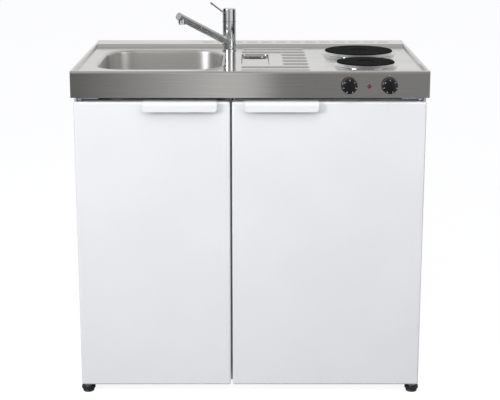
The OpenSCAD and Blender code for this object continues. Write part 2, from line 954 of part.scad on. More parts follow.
// The plastic bushes that run on the hinge pins
module bushes(x) {
    for (s = [0, 1])
        translate([x, at(hinge_d), s == 0 ? door_clear - bush_lip : door_top + bush_lip])
            mirror([0, 0, s])
                difference() {
                    union() {
                        cylinder(r = bush_r, h = bush_h);
                        cylinder(r = bush_r + 2, h = bush_lip);
                    }
                    translate([0, 0, -over])
                        cylinder(r = pin_dia / 2 + run, h = bush_h - 2 + over);
                }
}

// A pressed handle: a flange on the door's top edge, and a lip that turns out and down
module handle(x0) {
    lip_d = -handle_proud;
    flange_d = lip_d + handle_bend;
    low = handle_z1 - handle_h;
    intersection() {
        across(x0, x0 + handle_w) {
            translate([flange_d, handle_z1 - handle_t])
                square([door_front + handle_seat - flange_d, handle_t]);
            translate([flange_d, handle_z1 - handle_bend])
                quarter_ring(handle_bend - handle_t, handle_bend, 90);
            translate([lip_d, low])
                square([handle_t, handle_h - handle_bend]);
        }
        translate([x0 + handle_w / 2, at(lip_d - over), low])
            rotate([-90, 0, 0])
                mirror([0, 1, 0])
                    linear_extrude(handle_proud + door_front + handle_seat + 2 * over) {
                        translate([-handle_w / 2, handle_corner])
                            square([handle_w, handle_h]);
                        translate([-handle_w / 2 + handle_corner, 0])
                            square([handle_w - 2 * handle_corner, handle_corner + over]);
                        for (s = [-1, 1])
                            translate([s * (handle_w / 2 - handle_corner), handle_corner])
                                circle(r = handle_corner);
                    }
    }
}

module sink_door() {
    color("white") door_skin(door_x0, sink_door_w, left_hinge_x);
}

// The flat pan that closes the back of the cupboard door, with its stiffening ribs
module sink_door_back() {
    d0 = door_front + skin + touch;
    x0 = door_x0 + rib_inset;
    x1 = sink_door_x1 - rib_inset;
    color("whitesmoke") difference() {
        union() {
            door_plate(door_x0, sink_door_w, skin);
            for (x = [x0, x1])
                block(x - rib_w / 2, x + rib_w / 2, d0, door_back - skin, door_clear + rib_end,
                    door_top - rib_end);
        }
        for (x = [x0, x1])
            block(x - rib_w / 2 + skin, x + rib_w / 2 - skin, d0 - over, door_back - skin,
                door_clear + rib_end + skin, door_top - rib_end - skin);
    }
}

module sink_door_handle() {
    color("white") handle(sink_door_x1 - handle_inset - handle_w);
}

module sink_door_bushes() {
    color("dimgray") bushes(left_hinge_x);
}

module fridge_door() {
    color("white") door_skin(fridge_door_x0, fridge_door_w, right_hinge_x);
}

module dyke_outline(inset, r) {
    rounded_rect(cavity_x1 - cavity_x0 - 2 * inset, cavity_z1 - cavity_z0 - 2 * inset, r);
}

// The moulded liner that closes the back of the refrigerator's door, with its raised dyke
module fridge_door_liner() {
    r = bush_r + 1;
    color("whitesmoke") difference() {
        union() {
            door_plate(fridge_door_x0, fridge_door_w, liner_t);
            // the raised dyke inside the seal
            translate([cavity_x, at(door_back - over), cavity_z])
                rotate([-90, 0, 0])
                    linear_extrude(dyke_rise + over)
                        difference() {
                            dyke_outline(dyke_inset, dyke_w);
                            dyke_outline(dyke_inset + dyke_w, 8);
                        }
        }
        // room for the bushes
        for (z = [door_clear, door_top - bush_h - 1])
            block(right_hinge_x - r, right_hinge_x + r, door_front, hinge_d + r, z, z + bush_h + 1);
    }
}

module fridge_door_handle() {
    color("white") handle(fridge_door_x0 + handle_inset);
}

module fridge_door_bushes() {
    color("dimgray") bushes(right_hinge_x);
}

// The magnetic seal, a soft frame between the door and the case
module fridge_door_gasket() {
    x0 = case_x0 + gasket_edge;
    w = right_hinge_x - x0;
    h = case_z1 - case_z0 - 2 * gasket_edge;
    color("lightgray") translate([x0 + w / 2, at(door_back), (case_z0 + case_z1) / 2])
        rotate([-90, 0, 0])
            linear_extrude(seal_gap - touch)
                difference() {
                    rounded_rect(w, h, 6);
                    rounded_rect(w - 2 * gasket_w, h - 2 * gasket_w, 4);
                }
}

// An open rack on the refrigerator's door
module door_rack(z, h) {
    inset = dyke_inset + dyke_w + rack_gap;
    x0 = cavity_x0 + inset;
    x1 = cavity_x1 - inset;
    t = rack_t;
    d1 = door_back + rack_d;
    slots = floor((x1 - x0) / rack_slot_pitch);
    first = (x0 + x1 - (slots - 1) * rack_slot_pitch - rack_slot_w) / 2;
    difference() {
        block(x0, x1, door_back, d1, z, z + h);
        block(x0 + t, x1 - t, door_back + t, d1 - t, z + t, z + h + over);
        for (i = [0 : slots - 1])
            translate([first + i * rack_slot_pitch, 0, 0])
                block(0, rack_slot_w, d1 - 2 * t, d1 + over, z + rack_band, z + h - rack_band);
    }
}

module door_racks() {
    color("aliceblue", 0.6) {
        door_rack(cavity_z0 + dyke_inset + dyke_w + rack_gap, lower_rack_h);
        door_rack(upper_shelf_z - 40, upper_rack_h);
    }
}

// ---------- refrigerator ----------

// The case as a block with a space for the compressor, shrunk by s
module case_block(s) {
    difference() {
        block(case_x0 + s, case_x1 - s, case_front + s, case_back - s, case_z0 + s, case_z1 - s);
        block(case_x0 - over, case_x1 + over, niche_front - s, case_back + over,
            case_z0 - over, case_z0 + niche_h + s);
    }
}

module fridge_case() {
    color("white") difference() {
        case_block(0);
        case_block(sheet);
        block(case_x0 + case_lip, case_x1 - case_lip, case_front - over, case_front + 2 * sheet,
            case_z0 + case_lip, case_z1 - case_lip);
    }
}

// The space inside the refrigerator, grown by g, with the hump over the compressor
module cavity(g) {
    difference() {
        translate([cavity_x, front_y, cavity_z])
            rotate([-90, 0, 0])
                linear_extrude(cavity_back + g)
                    rounded_rect(cavity_x1 - cavity_x0 + 2 * g, cavity_z1 - cavity_z0 + 2 * g,
                        cavity_r + g);
        block(case_x0, case_x1, hump_front + g, case_back, case_z0, hump_z - g);
    }
}

// The moulded inside of the refrigerator: a thin shell with a rim that fits the case
module fridge_liner() {
    g = sheet + touch;
    d0 = case_front + sheet;
    color("whitesmoke") {
        difference() {
            union() {
                intersection() {
                    cavity(liner_t);
                    block(case_x0, case_x1, d0, case_back, case_z0, case_z1);
                }
                block(case_x0 + g, case_x1 - g, d0, d0 + liner_t, case_z0 + g, case_z1 - g);
            }
            cavity(0);
        }
        // ribs that carry the shelves
        for (z = [upper_shelf_z, lower_shelf_z], x = [cavity_x0 - over, cavity_x1 - shelf_rib])
            block(x, x + shelf_rib + over, shelf_front, cavity_back - 20, z - shelf_rib - 1, z);
    }
}

// The folded aluminium freezer box, open at the front
module evaporator() {
    back = evaporator_front + evaporator_d;
    t = evaporator_t;
    color("lightsteelblue") {
        difference() {
            block(evaporator_x0, evaporator_x1, evaporator_front, back, evaporator_z0, evaporator_z1);
            block(evaporator_x0 + t, evaporator_x1 - t, evaporator_front - over, back - t,
                evaporator_z0 + t, evaporator_z1 - t);
        }
        // hangers to the ceiling
        for (x = [evaporator_x0 + hanger_w, evaporator_x1 - 2 * hanger_w])
            block(x, x + hanger_w, evaporator_front + 2 * hanger_w, back - 2 * hanger_w,
                evaporator_z1, cavity_z1);
        // ears for the pins of the flap
        for (x = [evaporator_x0 - ear_t, evaporator_x1])
            difference() {
                block(x, x + ear_t, flap_pin_d - ear_r, evaporator_front + ear_r, evaporator_z0,
                    flap_pin_z + ear_r);
                translate([x - over, at(flap_pin_d), flap_pin_z])
                    rotate([0, 90, 0])
                        cylinder(r = flap_pin_r + run, h = ear_t + 2 * over);
            }
    }
}

// The flap of the freezer box, which drops open about the pins at its foot
module freezer_flap() {
    x0 = evaporator_x0 + 1;
    x1 = evaporator_x1 - 1;
    d1 = evaporator_front - touch;
    top = evaporator_z1 - 1;
    color("aliceblue") {
        difference() {
            block(x0, x1, d1 - flap_t, d1, flap_pin_z, top);
            // the finger grip
            block(cavity_x - flap_grip_w / 2, cavity_x + flap_grip_w / 2, d1 - flap_t - over, d1 - 2,
                top - 23, top - 9);
        }
        translate([x0 - ear_t, at(flap_pin_d), flap_pin_z])
            rotate([0, 90, 0])
                cylinder(r = flap_pin_r, h = x1 - x0 + 2 * ear_t);
    }
}

// Two glass shelves, the lower one over the compressor's hump
module glass_shelves() {
    color("lightcyan", 0.5)
        for (z = [upper_shelf_z, lower_shelf_z])
            block(cavity_x0 + touch, cavity_x1 - touch, shelf_front, cavity_back - 4, z, z + shelf_t);
}

// The crisper under the lower shelf
module crisper_drawer() {
    x0 = cavity_x0 + crisper_side;
    x1 = cavity_x1 - crisper_side;
    z0 = cavity_z0 + touch;
    top = z0 + crisper_h;
    t = crisper_t;
    color("aliceblue", 0.6)
        difference() {
            union() {
                block(x0, x1, crisper_front, crisper_back, z0, top);
                block(cavity_x - crisper_grip_w / 2, cavity_x + crisper_grip_w / 2,
                    crisper_front - crisper_grip_d, crisper_front,
                    top - crisper_grip_drop - crisper_grip_h, top - crisper_grip_drop);
            }
            block(x0 + t, x1 - t, crisper_front + t, crisper_back - t, z0 + t, top + over);
        }
}

// The thermostat's housing on the right wall
module thermostat() {
    x0 = cavity_x1 - thermostat_t;
    color("white") difference() {
        block(x0, cavity_x1, thermostat_front - thermostat_l / 2, thermostat_front + thermostat_l / 2,
            thermostat_z - thermostat_h / 2, thermostat_z + thermostat_h / 2);
        translate([x0 - over, at(thermostat_front), thermostat_z])
            rotate([0, 90, 0])
                cylinder(r = thermostat_stem_r + run, h = thermostat_stem + 2 + over);
    }
}

module thermostat_knob() {
    color("gainsboro") translate([cavity_x1 - thermostat_t - touch, at(thermostat_front), thermostat_z]) {
        rotate([0, -90, 0])
            cylinder(r = thermostat_knob_r, h = thermostat_knob_t);
        rotate([0, 90, 0])
            cylinder(r = thermostat_stem_r, h = thermostat_stem);
        // the grip across its face
        translate([2 - thermostat_knob_r, 2 - thermostat_knob_r, -thermostat_grip / 2])
            cube([thermostat_grip, 2 * (thermostat_knob_r - 2), thermostat_grip]);
    }
}

// The sealed compressor on its mounting plate and rubber grommets
module compressor() {
    r = compressor_r;
    plate_z = base_z + sheet + 12;
    d = compressor_d;
    color("dimgray") {
        translate([cavity_x, at(d), plate_z + 2])
            rotate_extrude()
                intersection() {
                    translate([0, compressor_h / 2])
                        rounded_rect(2 * r, compressor_h, 28);
                    square([r, compressor_h]);
                }
        block(cavity_x - r - 35, cavity_x + r + 35, d - 52, d + 52, plate_z, plate_z + 2 + touch);
        for (sx = [-1, 1], sy = [-1, 1])
            post(cavity_x + sx * (r + 20), d + sy * 40, base_z + sheet, plate_z, 9);
        // the box of its starting relay
        block(cavity_x + r - 6, cavity_x + r + 26, d - 22, d + 22, plate_z + 30, plate_z + 84);
    }
}

// The condenser: one tube folded back and forth behind the case, with upright wires on it
module condenser() {
    r = condenser_dia / 2;
    d = case_back + condenser_off;
    x0 = case_x0 + condenser_side;
    x1 = case_x1 - condenser_side;
    z0 = case_z0 + niche_h + condenser_end;
    pitch = (case_z1 - condenser_end - z0) / (condenser_passes - 1);
    wire_pitch = (x1 - x0 - 2 * condenser_end) / (condenser_wires - 1);
    color("dimgray") {
        for (i = [0 : condenser_passes - 1])
            translate([x0, at(d), z0 + i * pitch])
                rotate([0, 90, 0])
                    cylinder(r = r, h = x1 - x0);
        for (i = [0 : condenser_passes - 2])
            translate([i % 2 == 0 ? x1 : x0, at(d), z0 + (i + 0.5) * pitch])
                rotate([90, 0, 0])
                    rotate([0, 0, i % 2 == 0 ? -90 : 90])
                        rotate_extrude(angle = 180)
                            translate([pitch / 2, 0])
                                circle(r = r);
        for (i = [0 : condenser_wires - 1])
            post(x0 + condenser_end + i * wire_pitch, d + r + wire_r + run,
                z0 - 8, case_z1 - condenser_end + 8, wire_r);
        // stand-offs to the case
        for (x = [x0 + condenser_end / 2, x1 - condenser_end / 2], z = [z0, case_z1 - condenser_end])
            bar(x, case_back, d - r + 1, z, 5);
    }
}

// ---------- drain ----------

// The waste: a flange in the bowl, a cup below it and an outlet
module waste_fitting() {
    r = waste_cup_r;
    color("silver") translate([bowl_x, waste_y, bowl_floor])
        rotate_extrude()
            polygon([
                [waste_hole_r + 12, 0], [waste_hole_r + 11, 1.8], [r - 1.5, 1], [r - 3, -45],
                [18, -48], [18, -waste_len], [outlet_dia / 2, -waste_len], [outlet_dia / 2, -50],
                [r - 1, -47], [r + 0.5, -3], [r + 0.5, 0]
            ]);
}

// The lift-out basket that closes the waste
module basket_strainer() {
    r = waste_hole_r - 6;
    color("silver") translate([bowl_x, waste_y, bowl_floor])
        difference() {
            rotate_extrude()
                polygon([
                    [0, -22], [r - 6, -22], [r - 3, -1], [r + 3.5, 1.8], [r + 3, 3.1], [r - 4.5, 1],
                    [r - 7.5, -20.5], [4, -20.5], [3, -6], [9, -3], [9, 1], [0, 3]
                ]);
            for (a = [0 : 30 : 330])
                rotate([0, 0, a])
                    translate([18, 0, -30])
                        cylinder(r = 2.5, h = 12, $fn = 24);
        }
}

// A straight length of pipe with a round end, between two points
module pipe_run(a, b, r) {
    v = b - a;
    translate(a) {
        rotate([0, acos(v.z / norm(v)), atan2(v.y, v.x)])
            cylinder(r = r, h = norm(v));
        sphere(r = r);
    }
}

// The pipe from the pocket of the well over the divider and down to the waste
module overflow_pipe() {
    r = overflow_r;
    top = field_z - pocket_depth - deck_t;
    level = top - r - 10;
    drop_x = (bowl_x1 - bowl_rim_r + deck_t + split_x) / 2;
    low = bowl_floor - waste_len / 2;
    path = [
        [well_x, pocket_y, level], [drop_x, pocket_y, level], [drop_x, pocket_y, low],
        [bowl_x, waste_y, low]
    ];
    color("gainsboro") difference() {
        union() {
            translate(path[0])
                cylinder(r = r, h = top - level);
            for (i = [0 : 2])
                pipe_run(path[i], path[i + 1], r);
        }
        translate(path[0])
            cylinder(r = r - pipe_wall, h = top - level + over);
        translate([bowl_x, waste_y, low - 2 * r])
            cylinder(r = waste_cup_r + 1, h = 4 * r);
    }
}

// The bottle trap below the waste
module bottle_trap() {
    r = trap_r;
    neck_r = outlet_dia / 2 + 4;
    color("whitesmoke") translate([bowl_x, waste_y, trap_bottom])
        difference() {
            union() {
                cylinder(r = r, h = trap_h);
                cylinder(r = r + 4, h = 18);
                translate([0, 0, trap_h])
                    cylinder(r1 = r, r2 = neck_r, h = 12);
                translate([0, 0, trap_h])
                    cylinder(r = neck_r, h = trap_top - trap_bottom - trap_h);
                translate([0, 0, trap_top - trap_bottom - 24])
                    cylinder(r = neck_r + 5, h = 24);
            }
            translate([0, 0, 4])
                cylinder(r = r - 3, h = trap_h - 7);
            translate([0, 0, 60])
                cylinder(r = outlet_dia / 2 - 1, h = trap_top - trap_bottom);
            translate([0, 0, outlet_h - trap_bottom])
                rotate([-90, 0, 0])
                    cylinder(r = outlet_dia / 2 + run, h = 2 * r);
        }
}

// The outlet pipe to the wall, with the nut that holds it in the trap
module outlet_pipe() {
    d0 = waste_d + trap_r;
    color("whitesmoke") difference() {
        union() {
            bar(bowl_x, d0 - 2, worktop_d - 1, outlet_h, outlet_dia / 2);
            bar(bowl_x, d0 + 2, d0 + 22, outlet_h, outlet_dia / 2 + 7);
        }
        bar(bowl_x, d0 - 2 - over, worktop_d + over, outlet_h, outlet_dia / 2 - pipe_wall);
    }
}

// ---------- tap ----------

module tap_base() {
    r = tap_dia / 2 + 2.5;
    boss_r = tap_hole_r - 0.5;
    color("silver") translate([tap_x, tap_y, field_z])
        rotate_extrude()
            polygon([
                [0, -shank_len], [shank_r, -shank_len], [shank_r, -10], [boss_r, -10], [boss_r, 0],
                [r, 0], [r, base_h - 1], [r - 1, base_h],
                [column_r, base_h], [column_r, tap_body_h], [0, tap_body_h]
            ]);
}

// The nut and the cupped washer that clamp the tap under the worktop
module tap_shank_nut() {
    color("goldenrod") translate([tap_x, tap_y, field_under])
        difference() {
            union() {
                translate([0, 0, -washer_h])
                    cylinder(r = washer_r, h = washer_h - touch);
                translate([0, 0, -washer_h - nut_h])
                    cylinder(r = nut_r, h = nut_h, $fn = 6);
            }
            translate([0, 0, -washer_h - nut_h - over])
                cylinder(r = shank_r + run, h = washer_h + nut_h + 2 * over);
            translate([0, 0, 3 - washer_h - touch])
                cylinder(r = tap_hole_r, h = washer_h);
        }
}

// The cartridge, with the cup that the lever's ball tilts in
module tap_cartridge() {
    color("gainsboro") translate([tap_x, tap_y, field_z])
        difference() {
            translate([0, 0, tap_body_h])
                cylinder(r = 11, h = lever_h - tap_body_h - 3);
            translate([0, 0, lever_h])
                sphere(r = ball_r + touch);
        }
}

// The turning body of the tap with its spout
module tap_spout() {
    color("silver") translate([tap_x, tap_y, field_z])
        difference() {
            union() {
                translate([0, 0, base_h + touch])
                    cylinder(d = tap_dia, h = tap_body_h - base_h - touch);
                rotate([0, 0, spout_heading]) {
                    translate([0, 0, spout_root_h])
                        rotate([0, 90 - spout_climb, 0])
                            cylinder(d = spout_dia, h = spout_len);
                    // the boss round the aerator
                    translate([aerator_reach, 0, aerator_z - 2])
                        cylinder(r = aerator_r + 2, h = spout_dia / 2);
                }
            }
            translate([0, 0, base_h - over])
                cylinder(r = column_r + run, h = tap_body_h + over);
            // the seat of the aerator, faced flat round its flange
            rotate([0, 0, spout_heading])
                translate([aerator_reach, 0, aerator_z - 3]) {
                    cylinder(r = aerator_r + run, h = 7);
                    translate([0, 0, -8])
                        cylinder(r = aerator_r + 3, h = 8);
                }
        }
}

module tap_aerator() {
    color("silver") translate([tap_x, tap_y, field_z])
        rotate([0, 0, spout_heading])
            translate([aerator_reach, 0, aerator_z - 6])
                difference() {
                    union() {
                        cylinder(r = aerator_r, h = 9);
                        cylinder(r = aerator_r + 1, h = 3);
                    }
                    translate([0, 0, -over])
                        cylinder(r = aerator_r - 2, h = 5);
                }
}

// The cap over the cartridge, slotted for the lever and bored for its pin
module tap_cap() {
    hollow_r = tap_dia / 2 - cap_wall;
    pivot = lever_h - tap_body_h - cap_reveal;
    reach = tap_dia;
    color("silver") translate([tap_x, tap_y, field_z + tap_body_h + cap_reveal])
        difference() {
            rounded_top(tap_dia / 2, tap_cap_h, cap_edge);
            translate([0, 0, -over])
                cylinder(r = hollow_r, h = tap_cap_h - cap_wall + over);
            rotate([0, 0, spout_heading])
                translate([0, 0, pivot])
                    rotate([90, 0, 0]) {
                        linear_extrude(lever_dia + 1, center = true)
                            polygon([
                                [0, -4],
                                [reach * cos(lever_climb - 3), reach * sin(lever_climb - 3) - 4],
                                [reach * cos(lever_climb + 23), reach * sin(lever_climb + 23) + 4],
                                [0, 4]
                            ]);
                        cylinder(r = lever_pin_r + run, h = 2 * hollow_r + 4, center = true);
                    }
        }
}

// The pin lever, with the ball that it tilts about and the pin across it
module tap_lever() {
    len = lever_reach / cos(lever_climb);
    color("silver") translate([tap_x, tap_y, field_z + lever_h])
        rotate([0, 0, spout_heading]) {
            rotate([0, 90 - lever_climb, 0]) {
                sphere(r = ball_r);
                cylinder(d = lever_dia, h = len - 3);
                translate([0, 0, len - 8])
                    cylinder(d = lever_dia + 1.4, h = 8);
            }
            rotate([90, 0, 0])
                cylinder(r = lever_pin_r, h = tap_dia - 2 * cap_wall + 3, center = true);
        }
}

// ---------- hob ----------

// A cast iron hot plate: a rim over the spill ring, a shallow centre and a stud below
module hot_plate(d, dia) {
    r = dia / 2;
    top = plate_rise;
    stud = -tray_depth - 10;
    color("dimgray") translate([plate_x, at(d), field_z])
        rotate_extrude($fn = 96)
            polygon([
                [0, stud], [stud_r, stud], [stud_r, -4], [r - 16, -4], [r - 16, -8], [r - 7, -8],
                [r - 7, ring_top], [r, ring_top], [r, top - 1.2], [r - 1.2, top],
                [24, top], [22, top - 1.2], [0, top - 1.2]
            ]);
}

module rear_hot_plate() {
    hot_plate(rear_plate_front, rear_plate_dia);
}

module front_hot_plate() {
    hot_plate(front_plate_front, front_plate_dia);
}

// The bright rings that seal the plates to the collars
module spill_rings() {
    color("silver") for (p = plates)
        translate([plate_x, at(p[0]), field_z])
            rotate_extrude($fn = 96)
                polygon([
                    [p[1] / 2 - 6.5, collar_rise], [p[1] / 2 + 5.5, collar_rise],
                    [p[1] / 2 + 5.5, collar_rise + 1], [p[1] / 2 + 1, ring_top],
                    [p[1] / 2 - 6.5, ring_top]
                ]);
}

// The shield below the plates
module hob_tray() {
    color("gainsboro") difference() {
        block(tray_x0, tray_x1, tray_front, tray_back, tray_z, field_under - touch);
        block(tray_x0 + sheet, tray_x1 - sheet, tray_front + sheet, tray_back - sheet,
            tray_z + sheet, field_z);
        // the front wall stays below the front plate
        block(tray_x0 + sheet, tray_x1 - sheet, tray_front - over, tray_front + 2 * sheet,
            field_z - 10, field_z);
        for (p = plates)
            post(plate_x, p[0], tray_z - over, tray_z + sheet + over, stud_r + 0.5);
    }
}

// The nuts and washers that clamp the plates
module hot_plate_nuts() {
    color("silver") for (p = plates)
        translate([plate_x, at(p[0]), tray_z])
            difference() {
                union() {
                    translate([0, 0, -7.5])
                        cylinder(r = 8, h = 6, $fn = 6);
                    translate([0, 0, -1.5])
                        cylinder(r = 11, h = 1.5);
                }
                translate([0, 0, -7.5 - over])
                    cylinder(r = stud_r + run, h = 7.5 + 2 * over);
            }
}

// The two rotary switches behind the fascia, with their terminals
module switches() {
    s = switch_size / 2;
    d1 = switch_front + switch_d;
    color("ivory") for (x = [left_knob_x, right_knob_x])
        difference() {
            union() {
                block(x - s, x + s, switch_front, d1, knob_z - s, knob_z + s);
                for (i = [-1 : 1])
                    block(x + 12 * i - 3, x + 12 * i + 3, d1, d1 + 8, knob_z - 12, knob_z - 10);
            }
            bar(x, switch_front - over, switch_front + spindle_in + over, knob_z,
                spindle_dia / 2 + run);
        }
}

module spindle(x) {
    color("silver") bar(x, -knob_gap - knob_bore, switch_front + spindle_in, knob_z, spindle_dia / 2);
}

module left_spindle() {
    spindle(left_knob_x);
}

module right_spindle() {
    spindle(right_knob_x);
}

// A round control knob, hollow behind, with a hub for its spindle
module knob(x) {
    r = knob_dia / 2;
    color("dimgray") translate([x, at(-knob_gap), knob_z])
        rotate([90, 0, 0])
            difference() {
                rounded_top(r, knob_proud - knob_gap, knob_shoulder);
                translate([0, 0, -over])
                    cylinder(d = spindle_dia + 2 * run, h = knob_bore + over);
                translate([0, 0, -over])
                    difference() {
                        cylinder(r = r - 3, h = 6);
                        cylinder(r = 7, h = 6);
                    }
            }
}

module left_knob() {
    knob(left_knob_x);
}

module right_knob() {
    knob(right_knob_x);
}

// The pilot lamp: a domed lens with its holder behind the fascia
module pilot_lamp() {
    r = lamp_dia / 2 - 0.2;
    dome = 1.5;
    color("firebrick") {
        bar(lamp_x, -dome, 24.5, lamp_z, r);
        translate([lamp_x, at(-dome), lamp_z])
            rotate([90, 0, 0])
                intersection() {
                    sphere(r = r);
                    cylinder(r = r, h = r);
                }
        bar(lamp_x, deck_t + touch, deck_t + 3, lamp_z, r + 2);
    }
}

// The connection box on the rear rail, with the gland for the supply lead
module terminal_box() {
    d1 = frame_back - rail_t;
    w = box_w / 2;
    h = box_h / 2;
    color("dimgray") difference() {
        union() {
            block(gland_x - w, gland_x + w, d1 - box_d, d1, gland_z - h, gland_z + h);
            bar(gland_x, d1 - over, frame_back + 7, gland_z, gland_r);
        }
        block(gland_x - w + box_t, gland_x + w - box_t, d1 - box_d + box_t, d1 - 2 * box_t,
            gland_z - h + box_t, gland_z + h - box_t);
        bar(gland_x, d1 - 2 * box_t - over, frame_back + 7 + over, gland_z, gland_bore_r);
    }
}

worktop();
sink_bowl();
overflow_well();
left_side();
right_side();
divider();
back_panel();
base_panel();
front_rail();
rear_rail();
upper_hinge_brackets();
lower_hinge_brackets();
front_left_foot();
front_right_foot();
rear_left_foot();
rear_right_foot();
waste_fitting();
overflow_pipe();
bottle_trap();
outlet_pipe();
basket_strainer();
tap_base();
tap_shank_nut();
tap_cartridge();
tap_spout();
tap_aerator();
tap_cap();
tap_lever();
rear_hot_plate();
front_hot_plate();
spill_rings();
hob_tray();
hot_plate_nuts();
switches();
left_spindle();
right_spindle();
left_knob();
right_knob();
pilot_lamp();
terminal_box();
sink_door();
sink_door_back();
sink_door_handle();
sink_door_bushes();
fridge_door();
fridge_door_liner();
fridge_door_handle();
fridge_door_bushes();
fridge_door_gasket();
door_racks();
fridge_case();
fridge_liner();
evaporator();
freezer_flap();
glass_shelves();
crisper_drawer();
thermostat();
thermostat_knob();
compressor();
condenser();
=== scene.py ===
"""Finishes, printed marks, small fittings, light and floor for a 900 mm kitchenette with a sink, two hot
plates and a refrigerator."""

import math

import bmesh
import bpy
from mathutils import Matrix, Vector


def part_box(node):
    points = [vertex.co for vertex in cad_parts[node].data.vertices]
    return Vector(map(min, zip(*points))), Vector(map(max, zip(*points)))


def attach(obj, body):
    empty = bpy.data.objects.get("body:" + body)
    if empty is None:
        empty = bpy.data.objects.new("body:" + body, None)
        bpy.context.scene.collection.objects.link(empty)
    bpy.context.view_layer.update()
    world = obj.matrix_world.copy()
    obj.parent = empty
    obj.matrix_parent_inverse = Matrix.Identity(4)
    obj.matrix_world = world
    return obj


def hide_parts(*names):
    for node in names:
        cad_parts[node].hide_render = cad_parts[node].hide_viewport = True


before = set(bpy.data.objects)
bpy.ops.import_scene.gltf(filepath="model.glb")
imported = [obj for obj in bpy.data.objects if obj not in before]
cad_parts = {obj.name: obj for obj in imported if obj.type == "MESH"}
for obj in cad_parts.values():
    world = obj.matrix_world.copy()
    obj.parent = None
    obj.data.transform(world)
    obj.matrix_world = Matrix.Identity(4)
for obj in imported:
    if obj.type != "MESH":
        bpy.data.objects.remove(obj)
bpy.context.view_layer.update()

MM = 0.001

# Planes that the fittings and the camera are placed by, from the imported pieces
RIM_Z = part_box("worktop")[1].z
FASCIA_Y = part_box("worktop")[0].y
CAMERA_AHEAD = 3.0


# ---------------------------------------------------------------- node trees


def linear(hex_colour):
    """An sRGB hex colour as the linear values that a shader takes."""
    values = [int(hex_colour[i : i + 2], 16) / 255 for i in (0, 2, 4)]
    straight = [v / 12.92 if v <= 0.04045 else ((v + 0.055) / 1.055) ** 2.4 for v in values]
    return (*straight, 1.0)


def add(tree, kind, settings=None, links=None):
    """Adds one node: settings are its own properties or its sockets' values, links feed its sockets."""
    node = tree.nodes.new(kind)
    for key, value in (settings or {}).items():
        if isinstance(key, str) and hasattr(node, key):
            setattr(node, key, value)
        else:
            node.inputs[key].default_value = value
    for key, source in (links or {}).items():
        tree.links.new(source, node.inputs[key])
    return node


def surface(name, base, roughness, settings=None):
    """A material with one Principled shader. Gives back the material, its tree and the shader."""
    material = bpy.data.materials.new(name)
    material.use_nodes = True
    tree = material.node_tree
    tree.nodes.clear()
    values = {"Base Color": linear(base), "Roughness": roughness, **(settings or {})}
    shader = add(tree, "ShaderNodeBsdfPrincipled", values)
    add(tree, "ShaderNodeOutputMaterial", None, {"Surface": shader.outputs[0]})
    return material, tree, shader


def grain(tree, size, detail=2.0, roughness=0.5):
    """Noise whose features measure size = (x, y, z) millimetres on the piece."""
    place = add(tree, "ShaderNodeTexCoord")
    scale = [1 / (s * MM) for s in size]
    mapped = add(tree, "ShaderNodeMapping", {"Scale": scale}, {"Vector": place.outputs["Object"]})
    settings = {"Scale": 1.0, "Detail": detail, "Roughness": roughness}
    return add(tree, "ShaderNodeTexNoise", settings, {"Vector": mapped.outputs[0]}).outputs[0]


def ranged(tree, value, low, high, start=0.3, end=0.7):
    """The value from start to end spread over low to high."""
    settings = {"From Min": start, "From Max": end, "To Min": low, "To Max": high}
    return add(tree, "ShaderNodeMapRange", settings, {"Value": value}).outputs[0]


def tinted(tree, value, first, second):
    """A colour between two hex colours."""
    mix = add(tree, "ShaderNodeMix", {"data_type": "RGBA"}, {"Factor": value})
    mix.inputs[6].default_value = linear(first)
    mix.inputs[7].default_value = linear(second)
    return mix.outputs[2]


def relief(tree, value, height, normal=None):
    """A bump whose full swing is height millimetres."""
    links = {"Height": value}
    if normal is not None:
        links["Normal"] = normal
    return add(tree, "ShaderNodeBump", {"Distance": height * MM}, links).outputs[0]


def feed(tree, shader, **sources):
    """Links sources to the shader's sockets, such as Base_Color=colour."""
    for name, source in sources.items():
        tree.links.new(source, shader.inputs[name.replace("_", " ")])


# ---------------------------------------------------------------- finishes


def along_x(tree):
    """The direction of the brush: along the sheet's length."""
    return add(tree, "ShaderNodeCombineXYZ", {"X": 1.0, "Y": 0.02, "Z": 0.01}).outputs[0]


def brushed_stainless():
    """Cold-rolled stainless sheet, brushed along its length: lights are drawn out across the brush lines
    only. The real hairlines are finer than 0.2 mm and are drawn about 2 mm wide."""
    settings = {"Metallic": 1.0, "Anisotropic": 0.85, "Anisotropic Rotation": 0.25}
    material, tree, shader = surface("brushed_stainless", "c4c3bf", 0.12, settings)
    hairline = grain(tree, (150, 2.0, 2.0), 3.0, 0.6)
    cloud = grain(tree, (120, 60, 60), 2.0)
    feed(
        tree,
        shader,
        Base_Color=tinted(tree, ranged(tree, hairline, 0, 1), "bfbebb", "cac9c5"),
        Roughness=ranged(tree, cloud, 0.105, 0.145),
        Normal=relief(tree, hairline, 0.035),
        Tangent=along_x(tree),
    )
    return material


def satin_stainless():
    """Deep-drawn stainless, ground level round its walls after pressing: each light becomes a soft upright
    band. The real grinding marks are finer than 0.2 mm and are drawn about 2 mm wide."""
    settings = {"Metallic": 1.0, "Anisotropic": 0.72}
    material, tree, shader = surface("satin_stainless", "dad9d6", 0.42, settings)
    marks = grain(tree, (140, 140, 2.0), 3.0, 0.6)
    upright = add(tree, "ShaderNodeCombineXYZ", {"X": 0.03, "Y": 0.05, "Z": 1.0}).outputs[0]
    feed(
        tree,
        shader,
        Base_Color=tinted(tree, ranged(tree, marks, 0, 1), "d5d4d1", "dfdedb"),
        Roughness=ranged(tree, marks, 0.38, 0.46),
        Normal=relief(tree, marks, 0.02),
        Tangent=upright,
    )
    return material


